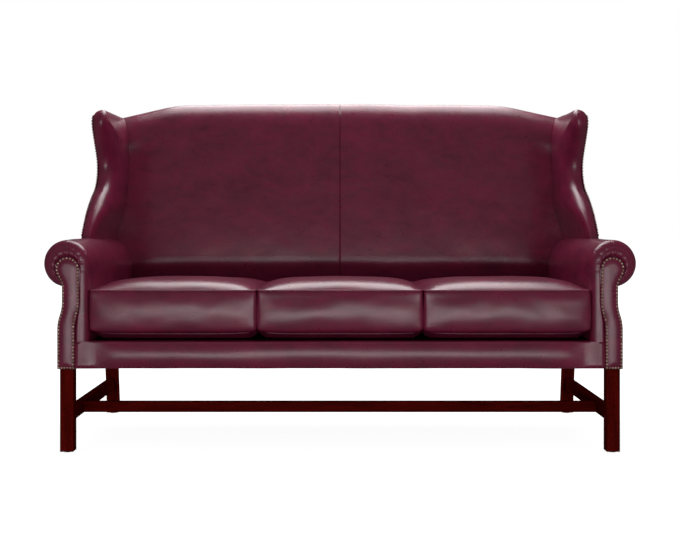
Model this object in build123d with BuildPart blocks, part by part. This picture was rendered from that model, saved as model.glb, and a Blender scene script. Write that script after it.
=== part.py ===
from build123d import *
import os
from math import cos, radians, sin, sqrt, tan

# A three-seat wing-back sofa with scrolled arms, loose seat cushions, square raked-back legs and
# an H stretcher. Sizes are in millimetres. X runs to the right as seen from the front, Y runs to
# the back and Z runs up. The origin is on the floor under the middle of the sofa. Each piece that
# comes in a pair is drawn on the right-hand side, at positive X, and mirrored to the left.
os.makedirs("parts", exist_ok=True)

# Driving dimensions
overall_width = 1862
overall_depth = 816
overall_height = 1180
arm_height = 671
arm_closing = 25
deck_height = 352
frame_underside = 266
base_depth = 666
back_recline = 8.8

# Clearances between pieces, and the overrun of a cut
fit_gap = 0.3
overrun = 6

# Leather, facing boards and nails
leather = 2
panel = 3
facing_thickness = 8
nail_radius = 4.7
nail_height = 3
nail_pitch = 10.8
nail_margin = 5.5
nail_sides = 4
nail_taper = 38

# Legs and glides
leg_width = 42
leg_inset = 28.1
leg_chamfer = 1.5
rear_leg_rake = 44
glide_height = 3
glide_radius = 14

# Seat rails
rail_height = 77
rail_thickness = 30
tenon_length = 14
tenon_thickness = 12
tenon_shoulder = 12
cross_rail_width = 25
cross_rail_drop = 18
corner_block_reach = 62
corner_block_height = 40

# Stretchers
stretcher_thickness = 22
side_stretcher_height = 43
side_stretcher_underside = 94
medial_stretcher_height = 35
medial_stretcher_setback = 185
stretcher_shoulder = 5
stub_tenon_length = 10

# Webbing and the deck that the cushions lie on
strap_thickness = 2
strap_width = 55
strap_count = 12
strap_inset = 6
dust_cover_thickness = 1.5
dust_cover_inset = 6

# Front border
border_thickness = 12
border_setback = 2
border_bulge = 3
border_lip = 42
border_round = 4

# Arm
roll_radius = 70
roll_flat = 2
arm_front_setback = 2
arm_front_round = 26
head_radius = 37
head_drop = 20
head_offset = 2.4
head_end_angle = 20
neck_width = 54
neck_top_drop = 66
neck_bottom_drop = 101
base_top_drop = 196
base_shift = 15
facing_overhang = 2
arm_post_thickness = 25
arm_rail_width = 38
arm_rail_height = 30

# Back
back_thickness = 110
back_side_inset = 51
crest_shoulder_run = 254
crest_crown = 5
crest_end_drop = 64
crest_shoulder_radius = 500
crest_front_round = 45
crest_rear_round = 28
back_frame_thickness = 42
crest_padding = 32
post_width = 40
top_rail_height = 70
stay_rail_height = 45
stay_rail_lift = 95
upright_width = 45
back_strap_count = 12
back_strap_width = 50
seam_gap = 1

# Wing
wing_toe_in = 2
wing_thickness = 60
wing_top = 1127
wing_reach = 268
wing_foot_angle = 62
wing_swoop_radius = 430
wing_swoop_turn = 32
wing_waist_radius = 90
wing_waist_turn = 92
wing_nape_radius = 60
wing_brow_radius = 40
wing_side_inset = 41
wing_inner_round = 22
wing_board_thickness = 20
wing_board_margin = 22
wing_nail_stop = 14

# Seat cushions
cushion_height = 159
cushion_crown = 28
cushion_gap = 1.5
cushion_front_setback = 4
cushion_corner = 34
cushion_tuck = 26

# Places that follow from the sizes above
front_y = -overall_depth / 2 + nail_height
leg_front_y = front_y + facing_thickness
front_leg_y = leg_front_y + leg_width / 2
rear_y = leg_front_y + base_depth
rear_leg_y = rear_y - leg_width / 2
rail_top = frame_underside + rail_height
seat_base = rail_top + strap_thickness
deck_thickness = deck_height - seat_base
border_front_y = front_y + border_setback
rail_front_y = border_front_y + border_thickness
seat_width_front = overall_width - 4 * roll_radius - 2 * roll_flat
seat_width_back = seat_width_front - 2 * arm_closing
roll_x = overall_width / 2 - roll_radius
roll_z = arm_height - roll_radius
head_x = roll_x - head_offset
head_z = roll_z - head_drop
neck_inner_x = head_x - head_radius
neck_outer_x = neck_inner_x + neck_width
neck_top = head_z - neck_top_drop
neck_bottom = head_z - neck_bottom_drop
base_top = head_z - base_top_drop
base_bend = (neck_bottom - base_top) / 2
facing_bottom = frame_underside - facing_overhang
panel_inner_x = neck_outer_x + base_shift
leg_x = panel_inner_x - leg_inset
leg_pitch = 2 * leg_x
back_half_width = overall_width / 2 - back_side_inset
crest_shoulder_x = back_half_width - crest_shoulder_run
wing_front_x = overall_width / 2 - wing_side_inset
slope = radians(back_recline)
back_foot_y = rear_y + panel / cos(slope) + fit_gap
back_plane = Plane(
    origin=(0, back_foot_y, frame_underside),
    x_dir=(1, 0, 0),
    z_dir=(0, -cos(slope), sin(slope)),
)
crest_top = (
    overall_height
    - frame_underside
    + crest_front_round * (cos(slope) - 1)
    - (back_thickness - crest_front_round) * sin(slope)
) / cos(slope)
back_bottom = (seat_base - frame_underside) / cos(slope)
toe = radians(wing_toe_in)
wing_back_x = wing_front_x - base_depth * tan(toe) - panel
wing_plane = Plane(
    origin=(wing_front_x, leg_front_y, 0),
    x_dir=(-sin(toe), cos(toe), 0),
    z_dir=(cos(toe), sin(toe), 0),
)

left_wing_plane = Plane(
    origin=(-wing_front_x, leg_front_y, 0),
    x_dir=(sin(toe), cos(toe), 0),
    z_dir=(cos(toe), -sin(toe), 0),
)


def back_y(height, depth):
    """Y of the point on the reclined back at this height and this far forward of its rear."""
    return back_foot_y + (height - frame_underside) * tan(slope) - depth / cos(slope)


def rear_leg_front_y(height):
    """Y of the raked rear leg's front face at a height under the seat rails."""
    drop_share = (frame_underside - height) / (frame_underside - glide_height)
    return rear_y - leg_width + rear_leg_rake * drop_share


def save(piece, label):
    piece.label = label
    export_step(piece, f"parts/{label}.step")


def save_pair(piece, label):
    """Writes a right-hand piece and its mirror image."""
    save(piece, f"{label}_right")
    save(mirror(piece, about=Plane.YZ), f"{label}_left")


def nails_along(path):
    """The places of a row of nails from one end of a path to its other end."""
    gaps = round(path.length / nail_pitch)
    return [path @ (n / gaps) for n in range(gaps + 1)]


# Legs, with the mortises that take the rails and stretchers
rail_z = frame_underside + rail_height / 2
rail_tenon_height = rail_height - 2 * tenon_shoulder
front_rail_y = rail_front_y + rail_thickness / 2
rear_rail_y = rear_y - rail_thickness / 2
side_rail_x = panel_inner_x - rail_thickness / 2
side_tenon_x = leg_x + tenon_thickness / 2
stretcher_z = side_stretcher_underside + side_stretcher_height / 2
stretcher_tenon_height = side_stretcher_height - 2 * stretcher_shoulder
stretcher_tenon_thickness = stretcher_thickness - 2 * stretcher_shoulder
stretcher_back_y = rear_leg_front_y(stretcher_z)
inner_leg_x = leg_x - leg_width / 2
front_leg_back_y = leg_front_y + leg_width

with BuildPart() as front_leg:
    with BuildSketch(Plane.XY.offset(glide_height)):
        with Locations((leg_x, front_leg_y)):
            Rectangle(leg_width, leg_width)
    extrude(amount=rail_top - glide_height)
    chamfer(front_leg.edges().filter_by(Axis.Z), leg_chamfer)
    with Locations((inner_leg_x + tenon_length / 2, front_rail_y, rail_z)):
        Box(tenon_length, tenon_thickness, rail_tenon_height, mode=Mode.SUBTRACT)
    with Locations((side_tenon_x, front_leg_back_y - tenon_length / 2, rail_z)):
        Box(tenon_thickness, tenon_length, rail_tenon_height, mode=Mode.SUBTRACT)
    with Locations((leg_x, front_leg_back_y - tenon_length / 2, stretcher_z)):
        Box(stretcher_tenon_thickness, tenon_length, stretcher_tenon_height, mode=Mode.SUBTRACT)
save_pair(front_leg.part, "front_leg")

with BuildPart() as rear_leg:
    with BuildSketch(Plane.YZ.offset(inner_leg_x)):
        with BuildLine():
            Polyline(
                (rear_y, rail_top),
                (rear_y, frame_underside),
                (rear_y + rear_leg_rake, glide_height),
                (rear_y + rear_leg_rake - leg_width, glide_height),
                (rear_y - leg_width, frame_underside),
                (rear_y - leg_width, rail_top),
                close=True,
            )
        make_face()
    extrude(amount=leg_width)
    with Locations((inner_leg_x + tenon_length / 2, rear_rail_y, rail_z)):
        Box(tenon_length, tenon_thickness, rail_tenon_height, mode=Mode.SUBTRACT)
    with Locations((side_tenon_x, rear_y - leg_width + tenon_length / 2, rail_z)):
        Box(tenon_thickness, tenon_length, rail_tenon_height, mode=Mode.SUBTRACT)
    with Locations((leg_x, stretcher_back_y + tenon_length / 2, stretcher_z)):
        Box(
            stretcher_tenon_thickness,
            tenon_length + rail_thickness,
            stretcher_tenon_height,
            align=(Align.CENTER, Align.CENTER, Align.CENTER),
            mode=Mode.SUBTRACT,
        )
save_pair(rear_leg.part, "rear_leg")

# Glides, one under each leg
with BuildPart() as glides:
    with BuildSketch():
        with Locations(
            (leg_x, front_leg_y),
            (-leg_x, front_leg_y),
            (leg_x, rear_leg_y + rear_leg_rake),
            (-leg_x, rear_leg_y + rear_leg_rake),
        ):
            Circle(glide_radius)
    extrude(amount=glide_height)
save(glides.part, "foot_glides")

# Seat rails, tenoned into the legs
cross_span = leg_pitch - leg_width
with BuildPart() as front_rail:
    with Locations((0, front_rail_y, rail_z)):
        Box(cross_span, rail_thickness, rail_height)
        Box(cross_span + 2 * tenon_length, tenon_thickness, rail_tenon_height)
save(front_rail.part, "front_seat_rail")

with BuildPart() as rear_rail:
    with Locations((0, rear_rail_y, rail_z)):
        Box(cross_span, rail_thickness, rail_height)
        Box(cross_span + 2 * tenon_length, tenon_thickness, rail_tenon_height)
save(rear_rail.part, "rear_seat_rail")

side_span = base_depth - 2 * leg_width
side_mid_y = leg_front_y + base_depth / 2
with BuildPart() as side_rail:
    with Locations((side_rail_x, side_mid_y, rail_z)):
        Box(rail_thickness, side_span, rail_height)
    with Locations((side_tenon_x, side_mid_y, rail_z)):
        Box(tenon_thickness, side_span + 2 * tenon_length, rail_tenon_height)
save_pair(side_rail.part, "side_seat_rail")

# Cross rails under the joints between the cushions
cross_rail_height = rail_height - cross_rail_drop
inner_front_y = rail_front_y + rail_thickness
inner_rear_y = rear_y - rail_thickness
with BuildPart() as cross_rails:
    with Locations((0, (inner_front_y + inner_rear_y) / 2, frame_underside)):
        with GridLocations(seat_width_front / 3, 0, 2, 1):
            Box(
                cross_rail_width,
                inner_rear_y - inner_front_y,
                cross_rail_height,
                align=(Align.CENTER, Align.CENTER, Align.MIN),
            )
save(cross_rails.part, "seat_cross_rails")

# Triangular blocks glued into the four corners of the seat frame
side_rail_inner_x = side_rail_x - rail_thickness / 2
with BuildPart() as corner_blocks:
    with BuildSketch(Plane.XY.offset(frame_underside)):
        with BuildLine():
            Polyline(
                (side_rail_inner_x, inner_front_y),
                (side_rail_inner_x - corner_block_reach, inner_front_y),
                (side_rail_inner_x, inner_front_y + corner_block_reach),
                close=True,
            )
        make_face()
        with BuildLine():
            Polyline(
                (side_rail_inner_x, inner_rear_y),
                (side_rail_inner_x - corner_block_reach, inner_rear_y),
                (side_rail_inner_x, inner_rear_y - corner_block_reach),
                close=True,
            )
        make_face()
        with Locations((leg_x, front_leg_y), (leg_x, rear_leg_y)):
            Rectangle(leg_width, leg_width, mode=Mode.SUBTRACT)
        mirror(about=Plane.YZ)
    extrude(amount=corner_block_height)
save(corner_blocks.part, "corner_blocks")

# Stretchers: one between each pair of legs, and one across between those two
medial_y = leg_front_y + medial_stretcher_setback + stretcher_thickness / 2
medial_z = side_stretcher_underside + medial_stretcher_height / 2
stub_tenon_height = medial_stretcher_height - 2 * stretcher_shoulder
with BuildPart() as side_stretcher:
    with BuildSketch(Plane.YZ.offset(leg_x - stretcher_thickness / 2)):
        with BuildLine():
            Polyline(
                (front_leg_back_y, side_stretcher_underside),
                (rear_leg_front_y(side_stretcher_underside), side_stretcher_underside),
                (
                    rear_leg_front_y(side_stretcher_underside + side_stretcher_height),
                    side_stretcher_underside + side_stretcher_height,
                ),
                (front_leg_back_y, side_stretcher_underside + side_stretcher_height),
                close=True,
            )
        make_face()
    extrude(amount=stretcher_thickness)
    with Locations((leg_x, front_leg_back_y - tenon_length, stretcher_z)):
        Box(
            stretcher_tenon_thickness,
            stretcher_back_y - front_leg_back_y + 2 * tenon_length + rail_thickness / 2,
            stretcher_tenon_height,
            align=(Align.CENTER, Align.MIN, Align.CENTER),
        )
    with Locations((leg_x - stretcher_thickness / 2, medial_y, medial_z)):
        Box(
            2 * stub_tenon_length,
            stretcher_tenon_thickness,
            stub_tenon_height,
            mode=Mode.SUBTRACT,
        )
save_pair(side_stretcher.part, "side_stretcher")

medial_span = leg_pitch - stretcher_thickness
with BuildPart() as medial_stretcher:
    with Locations((0, medial_y, medial_z)):
        Box(medial_span, stretcher_thickness, medial_stretcher_height)
        Box(medial_span + 2 * stub_tenon_length, stretcher_tenon_thickness, stub_tenon_height)
save(medial_stretcher.part, "medial_stretcher")

# Webbing across the seat frame, laid on the rails from front to back
with BuildPart() as seat_webbing:
    with Locations((0, (rail_front_y + rear_y) / 2, rail_top)):
        with GridLocations(seat_width_back / strap_count, 0, strap_count, 1):
            Box(
                strap_width,
                rear_y - rail_front_y - 2 * strap_inset,
                strap_thickness,
                align=(Align.CENTER, Align.CENTER, Align.MIN),
            )
save(seat_webbing.part, "seat_webbing")

# Dust cover tacked to the underside of the rails
with BuildPart() as dust_cover:
    with BuildSketch(Plane.XY.offset(frame_underside - dust_cover_thickness)):
        with Locations((0, (rail_front_y + rear_y) / 2)):
            Rectangle(
                2 * (panel_inner_x - dust_cover_inset),
                rear_y - rail_front_y - 2 * dust_cover_inset,
            )
        with Locations((0, side_mid_y)):
            with GridLocations(leg_pitch, base_depth - leg_width, 2, 2):
                Rectangle(
                    leg_width + 2 * dust_cover_inset,
                    leg_width + 2 * dust_cover_inset,
                    mode=Mode.SUBTRACT,
                )
    extrude(amount=dust_cover_thickness)
save(dust_cover.part, "dust_cover")


def facing_edge(growth):
    """The keyhole outline of the arm facing, grown all round, as a closed line in X and Z."""
    radius = head_radius + growth
    head_end_x = head_x + radius * cos(radians(head_end_angle))
    head_end_z = head_z - radius * sin(radians(head_end_angle))
    inner = neck_inner_x - growth
    outer = neck_outer_x + growth
    bottom = facing_bottom - growth
    flare = (head_end_z - neck_top) / 2
    Line((inner, neck_bottom), (inner, head_z))
    ThreePointArc((inner, head_z), (head_x, head_z + radius), (head_end_x, head_end_z))
    Bezier(
        (head_end_x, head_end_z),
        (head_end_x - flare * tan(radians(head_end_angle)), head_end_z - flare),
        (outer, neck_top + flare),
        (outer, neck_top),
    )
    Line((outer, neck_top), (outer, neck_bottom))
    Bezier(
        (outer, neck_bottom),
        (outer, neck_bottom - base_bend),
        (outer + base_shift, base_top + base_bend),
        (outer + base_shift, base_top),
    )
    Polyline(
        (outer + base_shift, base_top),
        (outer + base_shift, bottom),
        (inner + base_shift, bottom),
        (inner + base_shift, base_top),
    )
    Bezier(
        (inner + base_shift, base_top),
        (inner + base_shift, base_top + base_bend),
        (inner, neck_bottom - base_bend),
        (inner, neck_bottom),
    )


def facing_form(growth, front, thickness):
    """A board of the facing's outline, grown all round."""
    with BuildPart() as form:
        with BuildSketch(Plane.XZ.offset(-front)):
            with BuildLine():
                facing_edge(growth)
            make_face()
        extrude(amount=-thickness)
    return form.part


# Arm facing, the leather-covered board on the front of the arm, and its nails
facing = facing_form(0, front_y, facing_thickness)
save_pair(facing, "arm_facing")

with BuildLine() as nail_line:
    facing_edge(-nail_margin)
bottom_row, *keyhole = nail_line.edges().sort_by(Axis.Y)
facing_nail_points = nails_along(Wire(keyhole)) + nails_along(bottom_row)[1:-1]
with BuildPart() as facing_nails:
    with BuildSketch(Plane.XZ.offset(-front_y)):
        with Locations(*facing_nail_points):
            RegularPolygon(nail_radius, nail_sides)
    extrude(amount=nail_height, taper=nail_taper)
save_pair(facing_nails.part, "facing_nails")

# Front post of the arm, a board behind the facing that stands on the leg and the rails
with BuildPart() as arm_post:
    add(facing_form(0, leg_front_y, arm_post_thickness))
    split(bisect_by=Plane.XY.offset(rail_top), keep=Keep.TOP)
save_pair(arm_post.part, "arm_post")


def arm_outside(margin):
    """Draws the outside of the arm from its base up to its roll, that far outside the facing."""
    neck = neck_outer_x + margin
    base = neck + base_shift
    Line((base, facing_bottom), (base, base_top))
    Bezier(
        (base, base_top),
        (base, base_top + base_bend),
        (neck, neck_bottom - base_bend),
        (neck, neck_bottom),
    )
    Line((neck, neck_bottom), (neck, roll_z))


arm_front_y = front_y + arm_front_setback
arm_rear_y = back_y(arm_height, panel) + overrun
arm_length = arm_rear_y - arm_front_y


def arm_inner_half(inset):
    """The arm from its inner face, which closes in towards the back, to the middle of its roll."""
    radius = roll_radius - inset
    inner = seat_width_front / 2 + inset
    corner = inner + radius
    with BuildPart() as half:
        with BuildSketch(Plane.XZ.offset(-arm_front_y - inset)):
            with BuildLine():
                Polyline(
                    (inner, roll_z),
                    (inner, seat_base),
                    (corner + radius, seat_base),
                    (corner + radius, roll_z + radius),
                    (corner, roll_z + radius),
                )
                RadiusArc((inner, roll_z), (corner, roll_z + radius), radius)
            make_face()
        extrude(amount=arm_length, dir=((seat_width_back - seat_width_front) / 2, arm_length, 0))
        front_edges = half.faces().sort_by(Axis.Y)[0].edges()
        fillet(front_edges.filter_by(GeomType.CIRCLE), arm_front_round - inset)
        split(bisect_by=Plane.YZ.offset(roll_x), keep=Keep.BOTTOM)
    return half.part


def arm_outer_half(inset):
    """The arm's roll and, under it, its outside down to the seat rails."""
    with BuildPart() as half:
        with BuildSketch(Plane.XZ.offset(-arm_front_y - inset)):
            with Locations((roll_x, roll_z)):
                Circle(roll_radius - inset)
        extrude(amount=-arm_length)
        front_edges = half.faces().sort_by(Axis.Y)[0].edges()
        fillet(front_edges, arm_front_round - inset)
        split(bisect_by=Plane.YZ.offset(roll_x), keep=Keep.TOP)
        with BuildSketch(Plane.XZ.offset(-arm_front_y - inset)):
            with BuildLine():
                arm_outside(0)
                Polyline(
                    (neck_outer_x, roll_z),
                    (roll_x, roll_z),
                    (roll_x, facing_bottom),
                    (neck_outer_x + base_shift, facing_bottom),
                )
            make_face()
            under_roll = roll_z - sqrt((roll_radius - inset) ** 2 - (neck_outer_x - roll_x) ** 2)
            with Locations((roll_x, under_roll)):
                Rectangle(
                    arm_length,
                    under_roll - seat_base,
                    align=(Align.CENTER, Align.MAX),
                    mode=Mode.INTERSECT,
                )
        extrude(amount=-arm_length)
    return half.part


def arm_form(inset):
    """The padded arm, that far inside its leather surface, trimmed to the back's rear plane."""
    with BuildPart() as form:
        add(arm_inner_half(inset))
        add(arm_outer_half(inset))
        split(bisect_by=back_plane.offset(panel), keep=Keep.TOP)
    return form.part


def back_outline(inset, lowered):
    """The reclined back from the front, inside its leather surface, with its top lowered."""
    half = back_half_width - inset
    top = crest_top - inset - lowered
    with BuildSketch() as outline:
        with BuildLine():
            shoulder = top - crest_crown
            end = top - crest_end_drop
            ThreePointArc((-crest_shoulder_x, shoulder), (0, top), (crest_shoulder_x, shoulder))
            Polyline(
                (crest_shoulder_x, shoulder),
                (half, end),
                (half, back_bottom),
                (-half, back_bottom),
                (-half, end),
                (-crest_shoulder_x, shoulder),
            )
        make_face()
        fillet(outline.vertices().group_by(Axis.Y)[-1], crest_shoulder_radius)
    return outline.sketch


def back_form(inset):
    """The whole reclined back, that far inside its leather surface at the front and edges."""
    with BuildPart() as form:
        with BuildSketch(back_plane.offset(panel)):
            add(back_outline(inset, 0))
        extrude(amount=back_thickness - panel - inset)
        across = Axis(back_plane.origin, back_plane.z_dir)
        high = frame_underside + (crest_top - 2 * crest_end_drop) * cos(slope)
        for face, radius in (
            (form.faces().sort_by(across)[-1], crest_front_round - inset),
            (form.faces().sort_by(across)[0], crest_rear_round + abs(inset)),
        ):
            fillet(face.edges().filter_by(lambda e: e.center().Z > high), radius)
        split(bisect_by=wing_plane.offset(-panel - inset), keep=Keep.BOTTOM)
        split(bisect_by=left_wing_plane.offset(panel + inset), keep=Keep.TOP)
    return form.part


back_cut = back_form(-fit_gap)
arm_cut = arm_form(-fit_gap)
facing_cut = facing_form(fit_gap, front_y - overrun, facing_thickness + arm_post_thickness + overrun)

# Arm rails inside the padding, from the front post to the back
arm_post_back_y = leg_front_y + arm_post_thickness
with BuildPart() as arm_rail:
    with Locations((head_x, arm_post_back_y, head_z)):
        Box(
            arm_rail_width,
            base_depth,
            arm_rail_height,
            align=(Align.CENTER, Align.MIN, Align.CENTER),
        )
    add(back_cut, mode=Mode.SUBTRACT)
    split(bisect_by=Plane.XZ.offset(-back_y(head_z, back_thickness)), keep=Keep.TOP)
save_pair(arm_rail.part, "arm_top_rail")

# Arm padding, hollowed for the post and the rail, and the leather over it
with BuildPart() as arm_pad:
    add(arm_form(leather))
    add(back_cut, mode=Mode.SUBTRACT)
    add(facing_cut, mode=Mode.SUBTRACT)
    add(arm_rail.part, mode=Mode.SUBTRACT)
save_pair(arm_pad.part, "arm_padding")

with BuildPart() as arm_cover:
    add(arm_form(0))
    add(arm_form(leather), mode=Mode.SUBTRACT)
    add(back_cut, mode=Mode.SUBTRACT)
    add(facing_cut, mode=Mode.SUBTRACT)
save_pair(arm_cover.part, "arm_cover")

# Leather panel on the outside of the arm, from under the roll to under the rail
with BuildPart() as outside_arm:
    with BuildSketch(Plane.XZ.offset(-arm_front_y)):
        with BuildLine():
            arm_outside(0)
            arm_outside(panel)
            Line((neck_outer_x, roll_z), (neck_outer_x + panel, roll_z))
            Line((panel_inner_x, facing_bottom), (panel_inner_x + panel, facing_bottom))
        make_face()
    extrude(amount=-arm_length)
    add(arm_cut, mode=Mode.SUBTRACT)
    add(facing_cut, mode=Mode.SUBTRACT)
    split(bisect_by=back_plane.offset(panel), keep=Keep.TOP)
save_pair(outside_arm.part, "outside_arm_panel")

# Frame of the reclined back
frame_front = panel + back_frame_thickness
envelope_half = wing_back_x - leather - crest_padding
post_x = envelope_half - post_width / 2


def back_envelope():
    """The space that the back's frame and webbing fill behind the padding."""
    with BuildPart() as form:
        with BuildSketch(back_plane.offset(panel)):
            add(back_outline(leather + crest_padding, 0))
        extrude(amount=back_frame_thickness + strap_thickness)
    return form.part


with BuildPart() as back_post:
    with BuildSketch(back_plane.offset(panel)):
        with Locations((post_x, 0)):
            Rectangle(post_width, crest_top, align=(Align.CENTER, Align.MIN))
        add(back_outline(leather + crest_padding, 0), mode=Mode.INTERSECT)
    extrude(amount=back_frame_thickness)
    split(bisect_by=Plane.XY.offset(seat_base), keep=Keep.TOP)
save_pair(back_post.part, "back_post")

post_inner_x = envelope_half - post_width
with BuildPart() as top_rail:
    with BuildSketch(back_plane.offset(panel)):
        add(back_outline(leather + crest_padding, 0))
        add(back_outline(leather + crest_padding, top_rail_height), mode=Mode.SUBTRACT)
        with Locations((0, crest_top)):
            Rectangle(2 * post_inner_x, crest_top, mode=Mode.INTERSECT)
    extrude(amount=back_frame_thickness)
save(top_rail.part, "back_top_rail")

stay_rail_bottom = back_bottom + stay_rail_lift
with BuildPart() as stay_rail:
    with BuildSketch(back_plane.offset(panel)):
        with Locations((0, stay_rail_bottom)):
            Rectangle(2 * post_inner_x, stay_rail_height, align=(Align.CENTER, Align.MIN))
    extrude(amount=back_frame_thickness)
save(stay_rail.part, "back_stay_rail")

upright_bottom = stay_rail_bottom + stay_rail_height
with BuildPart() as uprights:
    with BuildSketch(back_plane.offset(panel)):
        with Locations((0, upright_bottom)):
            with GridLocations(seat_width_front / 3, 0, 2, 1):
                Rectangle(upright_width, crest_top, align=(Align.CENTER, Align.MIN))
        add(back_outline(leather + crest_padding, top_rail_height), mode=Mode.INTERSECT)
    extrude(amount=back_frame_thickness)
save(uprights.part, "back_uprights")

back_strap_pitch = seat_width_back / (back_strap_count + 1)
with BuildPart() as back_webbing:
    with BuildSketch(back_plane.offset(frame_front)):
        with Locations((0, stay_rail_bottom + stay_rail_height / 2)):
            with GridLocations(back_strap_pitch, 0, back_strap_count, 1):
                Rectangle(back_strap_width, crest_top, align=(Align.CENTER, Align.MIN))
        add(back_outline(leather + crest_padding, top_rail_height / 2), mode=Mode.INTERSECT)
    extrude(amount=strap_thickness)
save(back_webbing.part, "back_webbing")

# Back padding, and its leather in two panels that meet in a seam at the middle
with BuildPart() as back_pad:
    add(back_form(leather))
    add(back_envelope(), mode=Mode.SUBTRACT)
save(back_pad.part, "inside_back_padding")

with BuildPart() as back_cover:
    add(back_form(0))
    add(back_form(leather), mode=Mode.SUBTRACT)
    split(bisect_by=Plane.YZ.offset(seam_gap / 2), keep=Keep.TOP)
save_pair(back_cover.part, "inside_back_cover")

# Leather panel over the rear of the back and over the rear ends of the arms
with BuildPart() as outside_back:
    with BuildSketch(back_plane):
        add(back_outline(0, crest_rear_round))
    extrude(amount=panel)
    split(bisect_by=wing_plane, keep=Keep.BOTTOM)
    split(bisect_by=left_wing_plane, keep=Keep.TOP)
    with BuildSketch(back_plane):
        roll_middle = (roll_z - frame_underside) / cos(slope)
        with BuildLine():
            Polyline(
                (0, roll_middle),
                (neck_outer_x + panel, roll_middle),
                (neck_outer_x + panel, (neck_bottom - frame_underside) / cos(slope)),
                (panel_inner_x + panel, (base_top - frame_underside) / cos(slope)),
                (panel_inner_x + panel, 0),
                (0, 0),
                close=True,
            )
        make_face()
        with Locations((roll_x, roll_middle)):
            Circle(roll_radius)
        mirror(about=Plane.YZ)
    extrude(amount=panel)
save(outside_back.part, "outside_back_panel")

# Wing outline in the wing's own plane: distance behind the front leg, and height
wing_back = back_y(wing_top, panel) - leg_front_y
wing_back_y = leg_front_y + wing_back * cos(toe)
wing_nape_turn = 90 - wing_foot_angle + wing_swoop_turn - wing_waist_turn
wing_rise_angle = radians(90 - wing_nape_turn)
wing_waist_angle = radians(wing_foot_angle - wing_swoop_turn)
wing_rise = (
    wing_top
    - arm_height
    - wing_swoop_radius * (cos(wing_waist_angle) - cos(radians(wing_foot_angle)))
    - wing_waist_radius * (cos(wing_waist_angle) - cos(wing_rise_angle))
    - wing_nape_radius * -cos(wing_rise_angle)
    - wing_brow_radius
) / sin(wing_rise_angle)


def wing_outline(inset):
    """The wing from the side, running down into the arm and back to the rear of the back."""
    foot_angle = radians(wing_foot_angle)
    foot = (wing_reach + inset * sin(foot_angle), arm_height - inset * cos(foot_angle))
    sunk = foot[1] - roll_z
    with BuildSketch() as outline:
        with BuildLine():
            root = Line((foot[0] - sunk / tan(foot_angle), roll_z), foot)
            swoop = JernArc(foot, root % 1, wing_swoop_radius - inset, -wing_swoop_turn)
            waist = JernArc(swoop @ 1, swoop % 1, wing_waist_radius + inset, wing_waist_turn)
            rise = Line(waist @ 1, waist @ 1 + (waist % 1) * wing_rise)
            nape = JernArc(rise @ 1, rise % 1, wing_nape_radius - inset, wing_nape_turn)
            brow = JernArc(nape @ 1, nape % 1, wing_brow_radius - inset, -90)
            Polyline(
                brow @ 1,
                (wing_back, wing_top - inset),
                (wing_back, roll_z),
                root @ 0,
            )
        make_face()
    return outline.sketch


def wing_form(inset):
    """The padded wing, that far inside its leather surface."""
    with BuildPart() as form:
        with BuildSketch(wing_plane.offset(-panel)):
            add(wing_outline(inset))
        extrude(amount=-(wing_thickness - panel - inset))
        inner_face = form.faces().sort_by(Axis(wing_plane.origin, wing_plane.z_dir))[0]
        free_edges = inner_face.edges().filter_by(
            lambda e: e.center().Z > roll_z + overrun and e.center().Y < wing_back_y - overrun
        )
        fillet(free_edges, wing_inner_round - inset)
        split(bisect_by=back_plane.offset(panel), keep=Keep.TOP)
    return form.part


with BuildPart() as wing_board:
    with BuildSketch(wing_plane.offset(-panel)):
        add(wing_outline(wing_board_margin))
    extrude(amount=-wing_board_thickness)
    split(bisect_by=back_plane.offset(back_thickness), keep=Keep.TOP)
    add(back_cut, mode=Mode.SUBTRACT)
    add(arm_cut, mode=Mode.SUBTRACT)
save_pair(wing_board.part, "wing_board")

with BuildPart() as wing_pad:
    add(wing_form(leather))
    add(wing_board.part, mode=Mode.SUBTRACT)
    add(back_cut, mode=Mode.SUBTRACT)
    add(arm_cut, mode=Mode.SUBTRACT)
save_pair(wing_pad.part, "wing_padding")

with BuildPart() as wing_cover:
    add(wing_form(0))
    add(back_cut, mode=Mode.SUBTRACT)
    add(arm_cut, mode=Mode.SUBTRACT)
    add(wing_form(leather), mode=Mode.SUBTRACT)
save_pair(wing_cover.part, "wing_cover")

with BuildPart() as outside_wing:
    with BuildSketch(wing_plane):
        add(wing_outline(0))
    extrude(amount=-panel)
    split(bisect_by=back_plane.offset(panel), keep=Keep.TOP)
    add(arm_cut, mode=Mode.SUBTRACT)
save_pair(outside_wing.part, "outside_wing_panel")

# Nails along the wing's front and top, where its cover meets its outside panel
with BuildPart() as wing_nails:
    nail_edges = wing_outline(nail_margin).edges()
    nail_edges = nail_edges.filter_by(lambda e: e.center().Y > arm_height).sort_by(Axis.X)[:-1]
    nail_row = Wire(nail_edges)
    nail_row = nail_row.trim(wing_nail_stop / nail_row.length, 1 - wing_nail_stop / nail_row.length)
    with BuildSketch(wing_plane):
        with Locations(*nails_along(nail_row)):
            RegularPolygon(nail_radius, nail_sides)
    extrude(amount=nail_height, taper=nail_taper)
save_pair(wing_nails.part, "wing_nails")

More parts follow.
